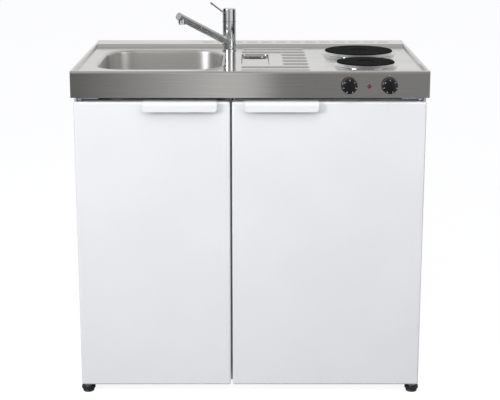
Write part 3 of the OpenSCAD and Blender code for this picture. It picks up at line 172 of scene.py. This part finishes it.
def polished_chrome():
    """Chrome plate on polished brass: a mirror with the least waviness, drawn as slow noise."""
    material, tree, shader = surface("polished_chrome", "cdced1", 0.05, {"Metallic": 1.0})
    wave = grain(tree, (9, 9, 14), 1.0)
    feed(
        tree,
        shader,
        Roughness=ranged(tree, wave, 0.03, 0.08),
        Normal=relief(tree, wave, 0.05),
    )
    return material


def powder_coat():
    """Powder coat on steel sheet: clean white with the faint orange peel of cured powder."""
    settings = {"Coat Weight": 0.1, "Coat Roughness": 0.2}
    material, tree, shader = surface("powder_coat", "f6f6f7", 0.32, settings)
    peel = grain(tree, (2.4, 2.4, 2.4), 2.0)
    haze = grain(tree, (220, 220, 220), 2.0)
    feed(
        tree,
        shader,
        Base_Color=tinted(tree, ranged(tree, haze, 0, 1), "f5f5f7", "f9f9f9"),
        Roughness=ranged(tree, peel, 0.27, 0.38),
        Normal=relief(tree, peel, 0.02),
    )
    return material


def galvanised_sheet():
    """Hot-dip galvanised sheet: dull grey with the patchwork of its zinc crystals."""
    crystal = 9
    material, tree, shader = surface("galvanised_sheet", "b5b9bc", 0.45, {"Metallic": 0.85})
    place = add(tree, "ShaderNodeTexCoord").outputs["Object"]
    crystals = add(tree, "ShaderNodeTexVoronoi", {"Scale": 1 / (crystal * MM)}, {"Vector": place})
    parts = add(tree, "ShaderNodeSeparateColor", None, {"Color": crystals.outputs["Color"]})
    spangle = parts.outputs[0]
    feed(
        tree,
        shader,
        Base_Color=tinted(tree, spangle, "a8adb1", "bfc3c5"),
        Roughness=ranged(tree, spangle, 0.38, 0.55, 0.0, 1.0),
    )
    return material


def zinc_plate():
    """Bright zinc plate on pressed steel, bluish, with a little haze."""
    material, tree, shader = surface("zinc_plate", "aab3c2", 0.3, {"Metallic": 1.0})
    haze = grain(tree, (6, 6, 6), 3.0)
    feed(
        tree,
        shader,
        Base_Color=tinted(tree, ranged(tree, haze, 0, 1), "a0a9b9", "bcc3cf"),
        Roughness=ranged(tree, haze, 0.24, 0.42),
    )
    return material


def turned_iron(name, centre_x, centre_y):
    """Cast iron with a baked black protective coat, faced on a lathe: fine rings round its centre.
    The real feed is about 0.5 mm a turn and is drawn wider so that it shows."""
    lathe_feed = 2.2
    material, tree, shader = surface(name, "141415", 0.6, {"Specular IOR Level": 0.006})
    place = add(tree, "ShaderNodeTexCoord").outputs["Object"]
    centred = add(tree, "ShaderNodeMapping", {"Location": (-centre_x, -centre_y, 0)}, {"Vector": place})
    flat = add(tree, "ShaderNodeVectorMath", {"operation": "MULTIPLY", 1: (1, 1, 0)}, {0: centred.outputs[0]})
    radius = add(tree, "ShaderNodeVectorMath", {"operation": "LENGTH"}, {0: flat.outputs[0]}).outputs["Value"]
    per_metre = 2 * math.pi / (lathe_feed * MM)
    turns = add(tree, "ShaderNodeMath", {"operation": "MULTIPLY", 1: per_metre}, {0: radius})
    ring = add(tree, "ShaderNodeMath", {"operation": "SINE"}, {0: turns.outputs[0]}).outputs[0]
    cast = grain(tree, (3, 3, 3), 4.0, 0.6)
    feed(
        tree,
        shader,
        Base_Color=tinted(tree, ranged(tree, cast, 0, 1), "101011", "19191a"),
        Roughness=ranged(tree, cast, 0.52, 0.66),
        Normal=relief(tree, ring, 0.03, relief(tree, cast, 0.05)),
    )
    return material


def moulded(name, base, second, roughness, settings=None, texture=1.2, height=0.02):
    """Moulded plastic: even colour, with the fine spark-eroded texture of its mould."""
    material, tree, shader = surface(name, base, roughness, settings)
    skin = grain(tree, (texture, texture, texture), 2.0)
    flow = grain(tree, (60, 60, 60), 2.0)
    feed(
        tree,
        shader,
        Base_Color=tinted(tree, ranged(tree, flow, 0, 1), base, second),
        Roughness=ranged(tree, skin, roughness - 0.05, roughness + 0.07),
        Normal=relief(tree, skin, height),
    )
    return material


def clear(name, base, roughness, ior):
    """Clear plastic or glass with a trace of its own colour."""
    material, tree, shader = surface(name, base, roughness, {"Transmission Weight": 1.0, "IOR": ior})
    smear = grain(tree, (25, 25, 25), 3.0)
    feed(tree, shader, Roughness=ranged(tree, smear, roughness, roughness + 0.05))
    return material


def rolled_aluminium():
    """Roll-bonded aluminium, clear anodised: pale, with soft rolling lines from front to back."""
    material, tree, shader = surface("rolled_aluminium", "c4c8cc", 0.4, {"Metallic": 1.0})
    rolling = grain(tree, (2.0, 80, 2.0), 2.0)
    feed(
        tree,
        shader,
        Base_Color=tinted(tree, ranged(tree, rolling, 0, 1), "bcc0c5", "cfd2d5"),
        Roughness=ranged(tree, rolling, 0.34, 0.48),
    )
    return material


def drawn_copper():
    """Soft-drawn copper tube, browned here and there by handling and brazing heat."""
    material, tree, shader = surface("drawn_copper", "c98566", 0.32, {"Metallic": 1.0})
    brown = grain(tree, (14, 14, 30), 3.0)
    feed(
        tree,
        shader,
        Base_Color=tinted(tree, ranged(tree, brown, 0, 1), "a5664a", "d39474"),
        Roughness=ranged(tree, brown, 0.26, 0.44),
    )
    return material


def turned_brass():
    """Turned brass, a little dulled by handling."""
    material, tree, shader = surface("turned_brass", "c6a45c", 0.3, {"Metallic": 1.0})
    dull = grain(tree, (5, 5, 5), 3.0)
    feed(
        tree,
        shader,
        Base_Color=tinted(tree, ranged(tree, dull, 0, 1), "b28f48", "cfae68"),
        Roughness=ranged(tree, dull, 0.25, 0.42),
    )
    return material


FINISH = {
    "brushed_stainless": brushed_stainless(),
    "bowl_stainless": satin_stainless(),
    "chrome": polished_chrome(),
    "white_enamel": powder_coat(),
    "galvanised_sheet": galvanised_sheet(),
    "bracket_steel": zinc_plate(),
    "black_knob": moulded("glossy_phenolic", "0e0e10", "131315", 0.24, {"Specular IOR Level": 0.3}),
    "red_lens": moulded("red_polycarbonate", "7d1420", "96202c", 0.12, {"Transmission Weight": 0.35}),
    "black_foot": moulded("black_polyamide", "1a1a1c", "232325", 0.5, None, 0.8, 0.04),
    "white_plastic": moulded("white_polystyrene", "f2f2ef", "efefec", 0.34),
    "grey_plastic": moulded("grey_polyamide", "8c8f93", "96999d", 0.45),
    "drain_plastic": moulded("white_polypropylene", "e9e9e5", "e2e2dd", 0.4),
    "seal_rubber": moulded("grey_vinyl", "dcdde0", "d3d4d8", 0.55),
    "clear_plastic": clear("clear_styrene", "eaf1f3", 0.06, 1.57),
    "shelf_glass": clear("tempered_glass", "dcefe8", 0.01, 1.52),
    "freezer_aluminium": rolled_aluminium(),
    "brass": turned_brass(),
    "black_enamel": moulded("black_stove_enamel", "101113", "17181a", 0.28, {"Coat Weight": 0.4}),
}


def dress_nodes():
    """Gives every CAD node the finish of its slot in the record."""
    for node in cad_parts.values():
        for place in node.material_slots:
            slot = place.material.name.split(".")[0]
            if slot in FINISH:
                place.material = FINISH[slot]


dress_nodes()
for plate in ("rear_hot_plate", "front_hot_plate"):
    low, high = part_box(plate)
    middle = (low + high) / 2
    iron = turned_iron(plate + "_iron", middle.x, middle.y)
    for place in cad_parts[plate].material_slots:
        place.material = iron


# ---------------------------------------------------------------- making pieces


def ring_of(shape, radius, height, sides, shift=0.0):
    """A ring of points about Z, in millimetres, turned on by shift of a side."""
    reach = radius * MM
    angles = [2 * math.pi * (i + shift) / sides for i in range(sides)]
    return [shape.verts.new((reach * math.cos(a), reach * math.sin(a), height * MM)) for a in angles]


def turned(profile, sides=72):
    """A lathe form about Z from (radius, height) pairs in millimetres, listed from foot to top."""
    shape = bmesh.new()
    rings = []
    for radius, height in profile:
        if radius == 0:
            rings.append([shape.verts.new((0, 0, height * MM))])
        else:
            rings.append(ring_of(shape, radius, height, sides))
    for lower, upper in zip(rings, rings[1:]):
        for i in range(sides):
            j = (i + 1) % sides
            below = (lower[i % len(lower)], lower[j % len(lower)])
            above = (upper[j % len(upper)], upper[i % len(upper)])
            kept = []
            for corner in below + above:
                if corner not in kept:
                    kept.append(corner)
            if len(kept) > 2:
                shape.faces.new(kept)
    return shape


def milled(size, edge, steps=2):
    """A block of size millimetres about its own middle, with rounded edges."""
    shape = bmesh.new()
    bmesh.ops.create_cube(shape, size=1.0, matrix=Matrix.Diagonal((*(s * MM for s in size), 1)))
    bmesh.ops.bevel(shape, geom=shape.edges[:], offset=edge * MM, segments=steps, affect="EDGES", profile=0.5)
    return shape


def drawn(points, radius, bend=12.0):
    """A tube of radius millimetres along points in metres, with bends of bend millimetres."""
    steps = 6
    path = [Vector(points[0])]
    for before, here, after in zip(points, points[1:], points[2:]):
        here = Vector(here)
        arm = min(bend * MM, (Vector(before) - here).length / 2, (Vector(after) - here).length / 2)
        first = here + (Vector(before) - here).normalized() * arm
        last = here + (Vector(after) - here).normalized() * arm
        for i in range(steps + 1):
            t = i / steps
            path.append(first * (1 - t) ** 2 + here * 2 * t * (1 - t) + last * t**2)
    path.append(Vector(points[-1]))
    line = bpy.data.curves.new("drawn", "CURVE")
    line.dimensions = "3D"
    line.bevel_depth = radius * MM
    line.bevel_resolution = 5
    line.use_fill_caps = True
    spline = line.splines.new("POLY")
    spline.points.add(len(path) - 1)
    for point, place in zip(spline.points, path):
        point.co = (*place, 1)
    return meshed(line)


def meshed(line):
    """The mesh of a curve or of a printed figure."""
    holder = bpy.data.objects.new("holder", line)
    mesh = bpy.data.meshes.new_from_object(holder)
    shape = bmesh.new()
    shape.from_mesh(mesh)
    bpy.data.objects.remove(holder)
    bpy.data.meshes.remove(mesh)
    return shape


def figure(text, height, thickness=0.08):
    """A plain printed figure lying on XY, height millimetres tall, about its own middle."""
    figure_share = 0.7
    letters = bpy.data.curves.new("figure", "FONT")
    letters.body = text
    letters.size = height * MM / figure_share
    letters.align_x = "CENTER"
    letters.align_y = "CENTER"
    letters.extrude = thickness * MM / 2
    letters.resolution_u = 3
    return meshed(letters)


def gathered(parts):
    """Joins (shape, matrix) pairs into one shape."""
    whole = bmesh.new()
    for shape, place in parts:
        shape.transform(place)
        loose = bpy.data.meshes.new("loose")
        shape.to_mesh(loose)
        shape.free()
        whole.from_mesh(loose)
        bpy.data.meshes.remove(loose)
    return whole


def fitted(name, shape, finish, body, crease=32):
    """Makes a piece of a shape, gives it its finish and lets it ride on a body."""
    bmesh.ops.recalc_face_normals(shape, faces=shape.faces[:])
    mesh = bpy.data.meshes.new(name)
    shape.to_mesh(mesh)
    shape.free()
    mesh.materials.append(finish)
    mesh.shade_smooth()
    mesh.set_sharp_from_angle(angle=math.radians(crease))
    piece = bpy.data.objects.new(name, mesh)
    bpy.context.scene.collection.objects.link(piece)
    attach(piece, body)
    return piece


def move(x, y, z):
    """A shift in millimetres."""
    return Matrix.Translation((x * MM, y * MM, z * MM))


def turn(degrees, axis):
    """A turn about an axis."""
    return Matrix.Rotation(math.radians(degrees), 4, axis)


def middle_of(node):
    """The middle of a CAD node's box, in millimetres."""
    low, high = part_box(node)
    return (low + high) / 2 / MM


# A piece made with its top along Z faces the front, or the wall, after these turns
TO_FRONT = turn(90, "X")
TO_BACK = turn(-90, "X")

printed_white = moulded("pad_printed_white", "e9eaec", "f1f1f2", 0.4)
printed_grey = moulded("pad_printed_grey", "b9bbbe", "c3c4c7", 0.45)
# Dark print for the thermostat's figures and pointer, and also the painted shade inside the screws' cross
# recesses
dark_print_and_recess_shade = moulded("dark_print_and_recess_shade", "3b3d41", "45474b", 0.45)
black_rubber = moulded("black_nitrile_rubber", "161617", "1f1f20", 0.6)
damping_felt = moulded("grey_bitumen_pad", "4c4e50", "5a5c5e", 0.8, None, 3.0, 0.3)
copper = drawn_copper()


# ---------------------------------------------------------------- knobs and lamp

# Profiles of the hob's knob as (radius, height) in millimetres: the bore for its spindle with the hollow
# behind the skirt, the skirt with the side, and the domed face
KNOB_BORE = [(3.2, 6.0), (7.0, 6.0), (7.0, 1.0), (7.4, 1.0), (7.4, 6.6), (17.8, 6.6)]
KNOB_SIDE = [(17.8, 0.9), (20.4, 0.9), (20.9, 1.6), (20.9, 4.4), (20.2, 5.4)]
KNOB_SIDE += [(19.9, 13.0), (19.6, 15.0), (18.9, 16.7), (17.8, 17.9)]
KNOB_FACE = [(16.4, 18.6), (14.0, 19.05), (10.0, 19.5), (5.0, 19.75), (0, 19.8)]
KNOB_STEPS = 7


def knob_face_height(radius):
    """Height of the knob's domed face at a radius, both in millimetres."""
    for (outer, low), (inner, high) in zip(KNOB_FACE, KNOB_FACE[1:]):
        if inner <= radius <= outer:
            return low + (high - low) * (outer - radius) / (outer - inner)
    return KNOB_FACE[0][1]


def dress_knob(node):
    """A glossy knob with a slightly domed face, the figures 0 to 6 round it and a line above it."""
    centre = middle_of(node)
    front = FASCIA_Y / MM
    seat = move(centre.x, front, centre.z) @ TO_FRONT
    shape = turned(KNOB_BORE + KNOB_SIDE + KNOB_FACE, 96)
    knob = fitted(node + "_cap", shape, FINISH["black_knob"], node)
    knob.data.transform(seat)
    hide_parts(node)
    figure_radius, figure_height, print_rise, face_slope = 15.8, 3.3, 0.05, 7
    lean = turn(-face_slope, "X")
    figures = []
    for position in range(KNOB_STEPS):
        around = turn(-position * 360 / KNOB_STEPS, "Z")
        out = move(0, figure_radius, knob_face_height(figure_radius) + print_rise)
        figures.append((figure(str(position), figure_height), seat @ around @ out @ lean))
    fitted(node + "_figures", gathered(figures), printed_white, node)
    line_height = 26.2
    line = [(milled((0.8, 0.12, 2.8), 0.03, 1), move(centre.x, front - 0.02, centre.z + line_height))]
    fitted(node + "_index_line", gathered(line), printed_grey, "cabinet")


dress_knob("left_knob")
dress_knob("right_knob")


def lamp_lens():
    """A faceted red lens over the pilot lamp, in a thin bright bezel."""
    centre = middle_of("pilot_lamp")
    seat = move(centre.x, FASCIA_Y / MM, centre.z) @ TO_FRONT
    shape = bmesh.new()
    facets = 8
    rows = [(5.0, -0.2, 0), (5.0, 1.4, 0), (3.5, 4.4, 0.5), (1.5, 5.7, 0)]
    rings = [ring_of(shape, radius, height, facets, shift) for radius, height, shift in rows]
    for i in range(facets):
        j = (i + 1) % facets
        shape.faces.new((rings[0][i], rings[0][j], rings[1][j], rings[1][i]))
        shape.faces.new((rings[1][i], rings[1][j], rings[2][i]))
        shape.faces.new((rings[1][j], rings[2][j], rings[2][i]))
        shape.faces.new((rings[2][i], rings[2][j], rings[3][j]))
        shape.faces.new((rings[2][i], rings[3][j], rings[3][i]))
    shape.faces.new(rings[3])
    lens = fitted("lamp_lens", shape, FINISH["red_lens"], "cabinet", crease=5)
    lens.data.transform(seat)
    profile = [(5.05, -0.1), (6.3, -0.1), (6.3, 0.5), (5.9, 0.9), (5.3, 0.9), (5.05, 0.5), (5.05, -0.1)]
    bezel = fitted("lamp_bezel", turned(profile), FINISH["chrome"], "cabinet")
    bezel.data.transform(seat)


lamp_lens()


# ---------------------------------------------------------------- screws


def cross_screws(name, places, radius, finish, body):
    """Pan head screws with a cross recess, whose hollow is drawn as a thin dark sheet on the crown: painted
    shade. Each place is a matrix whose Z points out of the head.
    """
    crown = radius * 0.62
    head = [(radius, 0), (radius, radius * 0.3), (radius * 0.8, radius * 0.55)]
    head += [(radius * 0.3, crown), (0, crown)]
    fitted(name, gathered([(turned(head, 24), place) for place in places]), finish, body)
    slots = []
    for place in places:
        for angle in (45, 135):
            slot = milled((2 * crown, radius * 0.22, 0.1), 0.02, 1)
            slots.append((slot, place @ turn(angle, "Z") @ move(0, 0, crown)))
    # Painted shade: a thin dark sheet on each head stands in for the shadow inside the cross recess
    fitted(name + "_recesses", gathered(slots), dark_print_and_recess_shade, body)


def back_screws():
    """The self-tapping screws down the back panel's edges and in the corners of the terminal box."""
    steel = FINISH["bracket_steel"]
    low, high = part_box("back_panel")
    inset = 9
    sides = (low.x / MM + inset, high.x / MM - inset)
    places = [move(x, high.y / MM, z) @ TO_BACK for z in (120, 330, 540) for x in sides]
    cross_screws("back_panel_screws", places, 3.6, steel, "cabinet")
    low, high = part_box("terminal_box")
    inset = 7
    sides = (low.x / MM + inset, high.x / MM - inset)
    levels = (low.z / MM + inset, high.z / MM - inset)
    places = [move(x, high.y / MM, z) @ TO_BACK for x in sides for z in levels]
    cross_screws("terminal_box_screws", places, 2.6, steel, "cabinet")


back_screws()


def side_rivets():
    """Flat rivets that hold the side panels to the frame, painted with them."""
    head = [(3.4, 0), (3.2, 0.35), (2.2, 0.6), (0, 0.7)]
    inset = 10
    for node, outward in (("left_side", -1), ("right_side", 1)):
        low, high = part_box(node)
        x = (low.x if outward < 0 else high.x) / MM
        rivets = []
        for y in (low.y / MM + inset, high.y / MM - inset):
            for z in (70, 290, 510, 730):
                rivets.append((turned(head, 24), move(x, y, z) @ turn(90 * outward, "Y")))
        fitted(node + "_rivets", gathered(rivets), FINISH["white_enamel"], "cabinet")


side_rivets()


# ---------------------------------------------------------------- tap


def tap_seals():
    """The seals in the tap's joints, and the woven wire of its aerator."""
    base = middle_of("tap_base")
    cap_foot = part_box("tap_cap")[0].z / MM
    body_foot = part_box("tap_spout")[0].z / MM
    ring = [(17.2, -0.45), (18.7, -0.45), (18.9, -0.1), (18.7, 0.25), (17.2, 0.25), (17.2, -0.45)]
    seals = [("tap_body_seal", body_foot, "cabinet"), ("tap_cap_seal", cap_foot - 0.3, "tap_spout")]
    for name, height, body in seals:
        fitted(name, gathered([(turned(ring), move(base.x, base.y, height))]), black_rubber, body)
    centre = middle_of("tap_aerator")
    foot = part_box("tap_aerator")[0].z / MM
    mouth, pitch = 6.4, 1.7
    wires = []
    for i in range(-3, 4):
        reach = math.sqrt(mouth**2 - (i * pitch) ** 2)
        for angle, lift in ((0, 1.2), (90, 1.5)):
            place = move(centre.x, centre.y, foot + lift) @ turn(angle, "Z") @ move(0, i * pitch, 0)
            wires.append((milled((2 * reach, 0.5, 0.4), 0.1, 1), place))
    fitted("aerator_gauze", gathered(wires), FINISH["bowl_stainless"], "tap_spout")


tap_seals()


# ---------------------------------------------------------------- refrigerator


def shelf_trims():
    """White channel mouldings on the front edges of the glass shelves."""
    low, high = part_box("glass_shelves")
    length, depth, height = (high.x - low.x) / MM - 1, 9, 7
    for name, z in (("upper_shelf_trim", high.z / MM - 2), ("lower_shelf_trim", low.z / MM + 2)):
        trim = milled((length, depth, height), 1.4, 3)
        place = move((low.x + high.x) / 2 / MM, low.y / MM + 2.5, z)
        fitted(name, gathered([(trim, place)]), FINISH["white_plastic"], "cabinet")


def thermostat_dial():
    """The figures 0 to 5 round the thermostat's knob, and the line on its grip."""
    centre = middle_of("thermostat_knob")
    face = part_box("thermostat")[0].x / MM
    upright = Matrix(((0, 0, -1, 0), (-1, 0, 0, 0), (0, 1, 0, 0), (0, 0, 0, 1)))
    dial_radius, step_angle = 20, 54
    figures = []
    for step in range(6):
        angle = math.radians(step_angle * step)
        y = centre.y - dial_radius * math.cos(angle)
        z = centre.z + dial_radius * math.sin(angle)
        figures.append((figure(str(step), 3.6), move(face - 0.05, y, z) @ upright))
    fitted("thermostat_figures", gathered(figures), dark_print_and_recess_shade, "cabinet")
    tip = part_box("thermostat_knob")[0].x / MM
    line = [(milled((0.12, 7, 1), 0.03, 1), move(tip - 0.02, centre.y - 9, centre.z))]
    fitted("thermostat_pointer", gathered(line), dark_print_and_recess_shade, "thermostat_knob")


def evaporator_channels():
    """The raised channel that carries the refrigerant to and fro under the freezer box."""
    low, high = (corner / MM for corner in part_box("evaporator"))
    front, back = low.y + 40, high.y - 30
    runs, side = 8, 30
    points = []
    for i in range(runs):
        x = low.x + side + i * (high.x - low.x - 2 * side) / (runs - 1)
        ends = (front, back) if i % 2 == 0 else (back, front)
        points += [(x * MM, y * MM, low.z * MM) for y in ends]
    aluminium = FINISH["freezer_aluminium"]
    fitted("evaporator_channel", drawn(points, 2.6, 14), aluminium, "cabinet")


def refrigerant_pipes():
    """Copper pipes from the compressor to the condenser and the evaporator, with the drier. Back is the plane
    of the condenser's tube and front a plane ahead of it, where the discharge pipe climbs."""
    back, front = 272.3, 263.0
    compressor_y = 184
    drier_x = -12
    discharge = [(258, compressor_y, 120), (322, compressor_y, 120), (322, front, 120), (418, front, 120)]
    discharge += [(418, front, 752), (418, back, 752), (399, back, 752)]
    suction = [(142, compressor_y, 110), (106, compressor_y, 110), (106, compressor_y, 197)]
    capillary = [(drier_x, back, 128), (drier_x, back, 92), (70, 236, 92), (70, 200, 92), (70, 200, 197)]
    to_drier = [(2, back, 228.2), (drier_x, back, 228.2), (drier_x, back, 196)]
    charging = [(222, 240, 118), (222, 252, 118)]
    for name, points, radius, bend in (
        ("discharge_pipe", discharge, 2.6, 16),
        ("suction_pipe", suction, 4.0, 20),
        ("capillary_pipe", capillary, 1.1, 14),
        ("drier_pipe", to_drier, 2.4, 12),
        ("charging_pipe", charging, 3.0, 4),
    ):
        metres = [tuple(v * MM for v in point) for point in points]
        fitted(name, drawn(metres, radius, bend), copper, "cabinet")
    profile = [(0, -38), (1.6, -38), (2.4, -34), (8.2, -27), (8.2, 27), (3.0, 34), (3.0, 38), (0, 38)]
    fitted("drier", gathered([(turned(profile, 32), move(drier_x, back, 162))]), copper, "cabinet")
    profile = [(59.6, -2.2), (61.4, -2.0), (61.8, 0), (61.4, 2.0), (59.6, 2.2)]
    seam = gathered([(turned(profile), move(middle_of("compressor").x, 184.3, 102))])
    fitted("compressor_seam", seam, FINISH["black_enamel"], "cabinet")


shelf_trims()
thermostat_dial()
evaporator_channels()
refrigerant_pipes()


# ---------------------------------------------------------------- below


def damping_pads():
    """The two pads stuck under the bowl that deaden the sound of running water."""
    low, high = (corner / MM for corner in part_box("sink_bowl"))
    x, y = (low.x + high.x) / 2, (low.y + high.y) / 2
    from_waste = 98
    for name, side in (("left_damping_pad", -1), ("right_damping_pad", 1)):
        pad = milled((62, 150, 2.4), 0.8, 2)
        fitted(name, gathered([(pad, move(x + side * from_waste, y, low.z - 1.25))]), damping_felt, "cabinet")


def foot_threads():
    """The threads on the studs of the rear feet."""
    start, pitch, count = 7, 1.25, 9
    root, crest = 4.02, 4.45
    ridges = []
    for i in range(count):
        ridges += [(root, start + i * pitch), (crest, 7.6 + i * pitch)]
    ridges.append((root, start + count * pitch))
    for node in ("rear_left_foot", "rear_right_foot"):
        centre = middle_of(node)
        thread = gathered([(turned(ridges, 32), move(centre.x, centre.y, 0))])
        fitted(node + "_thread", thread, FINISH["bracket_steel"], node)


damping_pads()
foot_threads()


# ---------------------------------------------------------------- light, floor and camera


# The studio as metal sees it near the floor, at eye level and overhead, as (bearing, brightness). The bearing
# is in degrees from straight ahead of the front, right positive.
STUDIO_LOW = [
    (-180, 0.92),
    (-120, 0.92),
    (-106, 0.34),
    (-82, 0.34),
    (-76, 0.07),
    (-50, 0.08),
    (-42, 0.9),
    (-14, 0.85),
    (-9.5, 0.14),
    (-8.3, 0.165),
    (-7.3, 0.27),
    (-6.3, 0.315),
    (-3.4, 0.545),
    (-1.7, 0.73),
    (-0.5, 0.86),
    (0.5, 0.7),
    (0.9, 0.4),
    (1.3, 0.27),
    (3.4, 0.29),
    (7.8, 0.33),
    (10.5, 0.3),
    (13, 0.9),
    (48, 0.95),
    (54, 0.07),
    (78, 0.06),
    (84, 0.34),
    (112, 0.34),
    (122, 0.92),
    (180, 0.92),
]
STUDIO_MIDDLE = [(-180, 0.92), (-115, 0.8), (-90, 0.5), (-60, 0.95), (0, 0.9)]
STUDIO_MIDDLE += [(15, 0.45), (80, 0.5), (180, 0.92)]
STUDIO_HIGH = [(-180, 0.66), (-110, 0.6), (-70, 0.25), (70, 0.25), (110, 0.6), (180, 0.66)]
# Height of a direction, from 0 level to 1 straight up, over which one of them gives way to the next
LOW_TO_MIDDLE = (0.15, 0.3)
MIDDLE_TO_HIGH = (0.68, 0.84)


def by_bearing(tree, across, ahead, stops):
    """Brightness by the bearing of a direction or a place."""
    angle = add(tree, "ShaderNodeMath", {"operation": "ARCTAN2"}, {0: across, 1: ahead}).outputs[0]
    share = ranged(tree, angle, 0, 1, -math.pi, math.pi)
    ramp = add(tree, "ShaderNodeValToRGB", None, {"Fac": share})
    band = ramp.color_ramp
    band.elements[0].position = 0
    band.elements[1].position = 1
    for bearing, _ in stops[1:-1]:
        band.elements.new(bearing / 360 + 0.5)
    for element, (bearing, level) in zip(band.elements, stops):
        element.color = (level, level, level, 1)
    return ramp.outputs[0]


def seen_directly(tree):
    """1 for what the camera sees, also through glass, and 0 for light and reflections."""
    path = add(tree, "ShaderNodeLightPath").outputs
    straight = {0: path["Is Camera Ray"], 1: path["Is Transmission Ray"]}
    return add(tree, "ShaderNodeMath", {"operation": "MAXIMUM"}, straight).outputs[0]


def in_reflections(tree):
    """1 for what metal shows and 0 for the rest."""
    return add(tree, "ShaderNodeLightPath").outputs["Is Glossy Ray"]


def studio_world():
    """White to the camera and through glass. Metal sees a pale studio with darker sides and ceiling."""
    world = bpy.data.worlds.new("studio")
    bpy.context.scene.world = world
    world.use_nodes = True
    tree = world.node_tree
    tree.nodes.clear()
    place = add(tree, "ShaderNodeTexCoord").outputs["Generated"]
    parts = add(tree, "ShaderNodeSeparateXYZ", None, {"Vector": place}).outputs
    ahead = add(tree, "ShaderNodeMath", {"operation": "MULTIPLY", 1: -1.0}, {0: parts["Y"]}).outputs[0]
    low = by_bearing(tree, parts["X"], ahead, STUDIO_LOW)
    middle = by_bearing(tree, parts["X"], ahead, STUDIO_MIDDLE)
    high = by_bearing(tree, parts["X"], ahead, STUDIO_HIGH)
    climb = ranged(tree, parts["Z"], 0, 1, *LOW_TO_MIDDLE)
    walls = add(tree, "ShaderNodeMix", {"data_type": "RGBA"}, {"Factor": climb, 6: low, 7: middle}).outputs[2]
    climb = ranged(tree, parts["Z"], 0, 1, *MIDDLE_TO_HIGH)
    walls = add(tree, "ShaderNodeMix", {"data_type": "RGBA"}, {"Factor": climb, 6: walls, 7: high}).outputs[2]
    plain = add(tree, "ShaderNodeBackground", {"Color": (1, 1, 1, 1), "Strength": 1.0}).outputs[0]
    ambient = add(tree, "ShaderNodeBackground", {"Color": linear("f4f6ff"), "Strength": 0.36}).outputs[0]
    mirrored = add(tree, "ShaderNodeBackground", {"Strength": 1.0}, {"Color": walls}).outputs[0]
    sources = {0: in_reflections(tree), 1: ambient, 2: mirrored}
    lit = add(tree, "ShaderNodeMixShader", None, sources).outputs[0]
    whole = add(tree, "ShaderNodeMixShader", None, {0: seen_directly(tree), 1: lit, 2: plain}).outputs[0]
    add(tree, "ShaderNodeOutputWorld", None, {"Surface": whole})


def white_floor():
    """A grey matt floor with a glow that makes it white to the camera and leaves it a soft shadow. Metal sees
    the studio's bands on it, which spread from a point as far behind the front as the camera is ahead."""
    material = bpy.data.materials.new("pale_floor")
    material.use_nodes = True
    tree = material.node_tree
    tree.nodes.clear()
    matt = add(tree, "ShaderNodeBsdfDiffuse", {"Color": linear("7e7e83")}).outputs[0]
    strength = ranged(tree, seen_directly(tree), 0, 0.9, 0, 1)
    glow = add(tree, "ShaderNodeEmission", {"Color": (1, 1, 1, 1)}, {"Strength": strength}).outputs[0]
    pale = add(tree, "ShaderNodeAddShader", None, {0: matt, 1: glow}).outputs[0]
    place = add(tree, "ShaderNodeTexCoord").outputs["Object"]
    parts = add(tree, "ShaderNodeSeparateXYZ", None, {"Vector": place}).outputs
    spread = FASCIA_Y + CAMERA_AHEAD
    ahead = add(tree, "ShaderNodeMath", {"operation": "SUBTRACT", 0: spread}, {1: parts["Y"]}).outputs[0]
    bands = by_bearing(tree, parts["X"], ahead, STUDIO_LOW)
    mirrored = add(tree, "ShaderNodeEmission", {"Strength": 1.0}, {"Color": bands}).outputs[0]
    whole = add(tree, "ShaderNodeMixShader", None, {0: in_reflections(tree), 1: pale, 2: mirrored}).outputs[0]
    add(tree, "ShaderNodeOutputMaterial", None, {"Surface": whole})
    mesh = bpy.data.meshes.new("floor")
    reach = 14.0
    corners = [(-reach, -reach, 0), (reach, -reach, 0), (reach, reach, 0), (-reach, reach, 0)]
    mesh.from_pydata(corners, [], [(0, 1, 2, 3)])
    floor = bpy.data.objects.new("floor", mesh)
    bpy.context.scene.collection.objects.link(floor)
    mesh.materials.append(material)


def lamp(name, place, aim, size, power, mirrored=True):
    """A square soft lamp at place, turned to aim. Metal shows it where it is mirrored."""
    light = bpy.data.lights.new(name, "AREA")
    light.size = size
    light.energy = power
    body = bpy.data.objects.new(name, light)
    body.location = place
    body.rotation_euler = (Vector(aim) - Vector(place)).to_track_quat("-Z", "Y").to_euler()
    body.visible_glossy = mirrored
    bpy.context.scene.collection.objects.link(body)


def camera():
    """The photograph's view: just above the worktop, square to the front, its uprights nearly parallel."""
    above_rim, down, focal, rise = 0.47, 12.6, 1216.0, -0.1
    width_px = 500
    data = bpy.data.cameras.new("camera")
    data.sensor_width = 36
    data.lens = focal / width_px * data.sensor_width
    data.shift_y = rise
    body = bpy.data.objects.new("camera", data)
    body.location = (0, FASCIA_Y - CAMERA_AHEAD, RIM_Z + above_rim)
    body.rotation_euler = (math.radians(90 - down), 0, 0)
    bpy.context.scene.collection.objects.link(body)
    bpy.context.scene.camera = body


studio_world()
white_floor()
lamp("key", (-2.4, -2.6, 1.6), (0, -0.2, 0.6), 1.0, 47)
lamp("fill", (2.3, -2.3, 1.6), (0, -0.2, 0.6), 1.8, 16)
lamp("top", (0, -2.2, 2.6), (0, -0.3, 0.7), 2.6, 44, mirrored=False)
camera()
bpy.context.scene.view_settings.view_transform = "Standard"
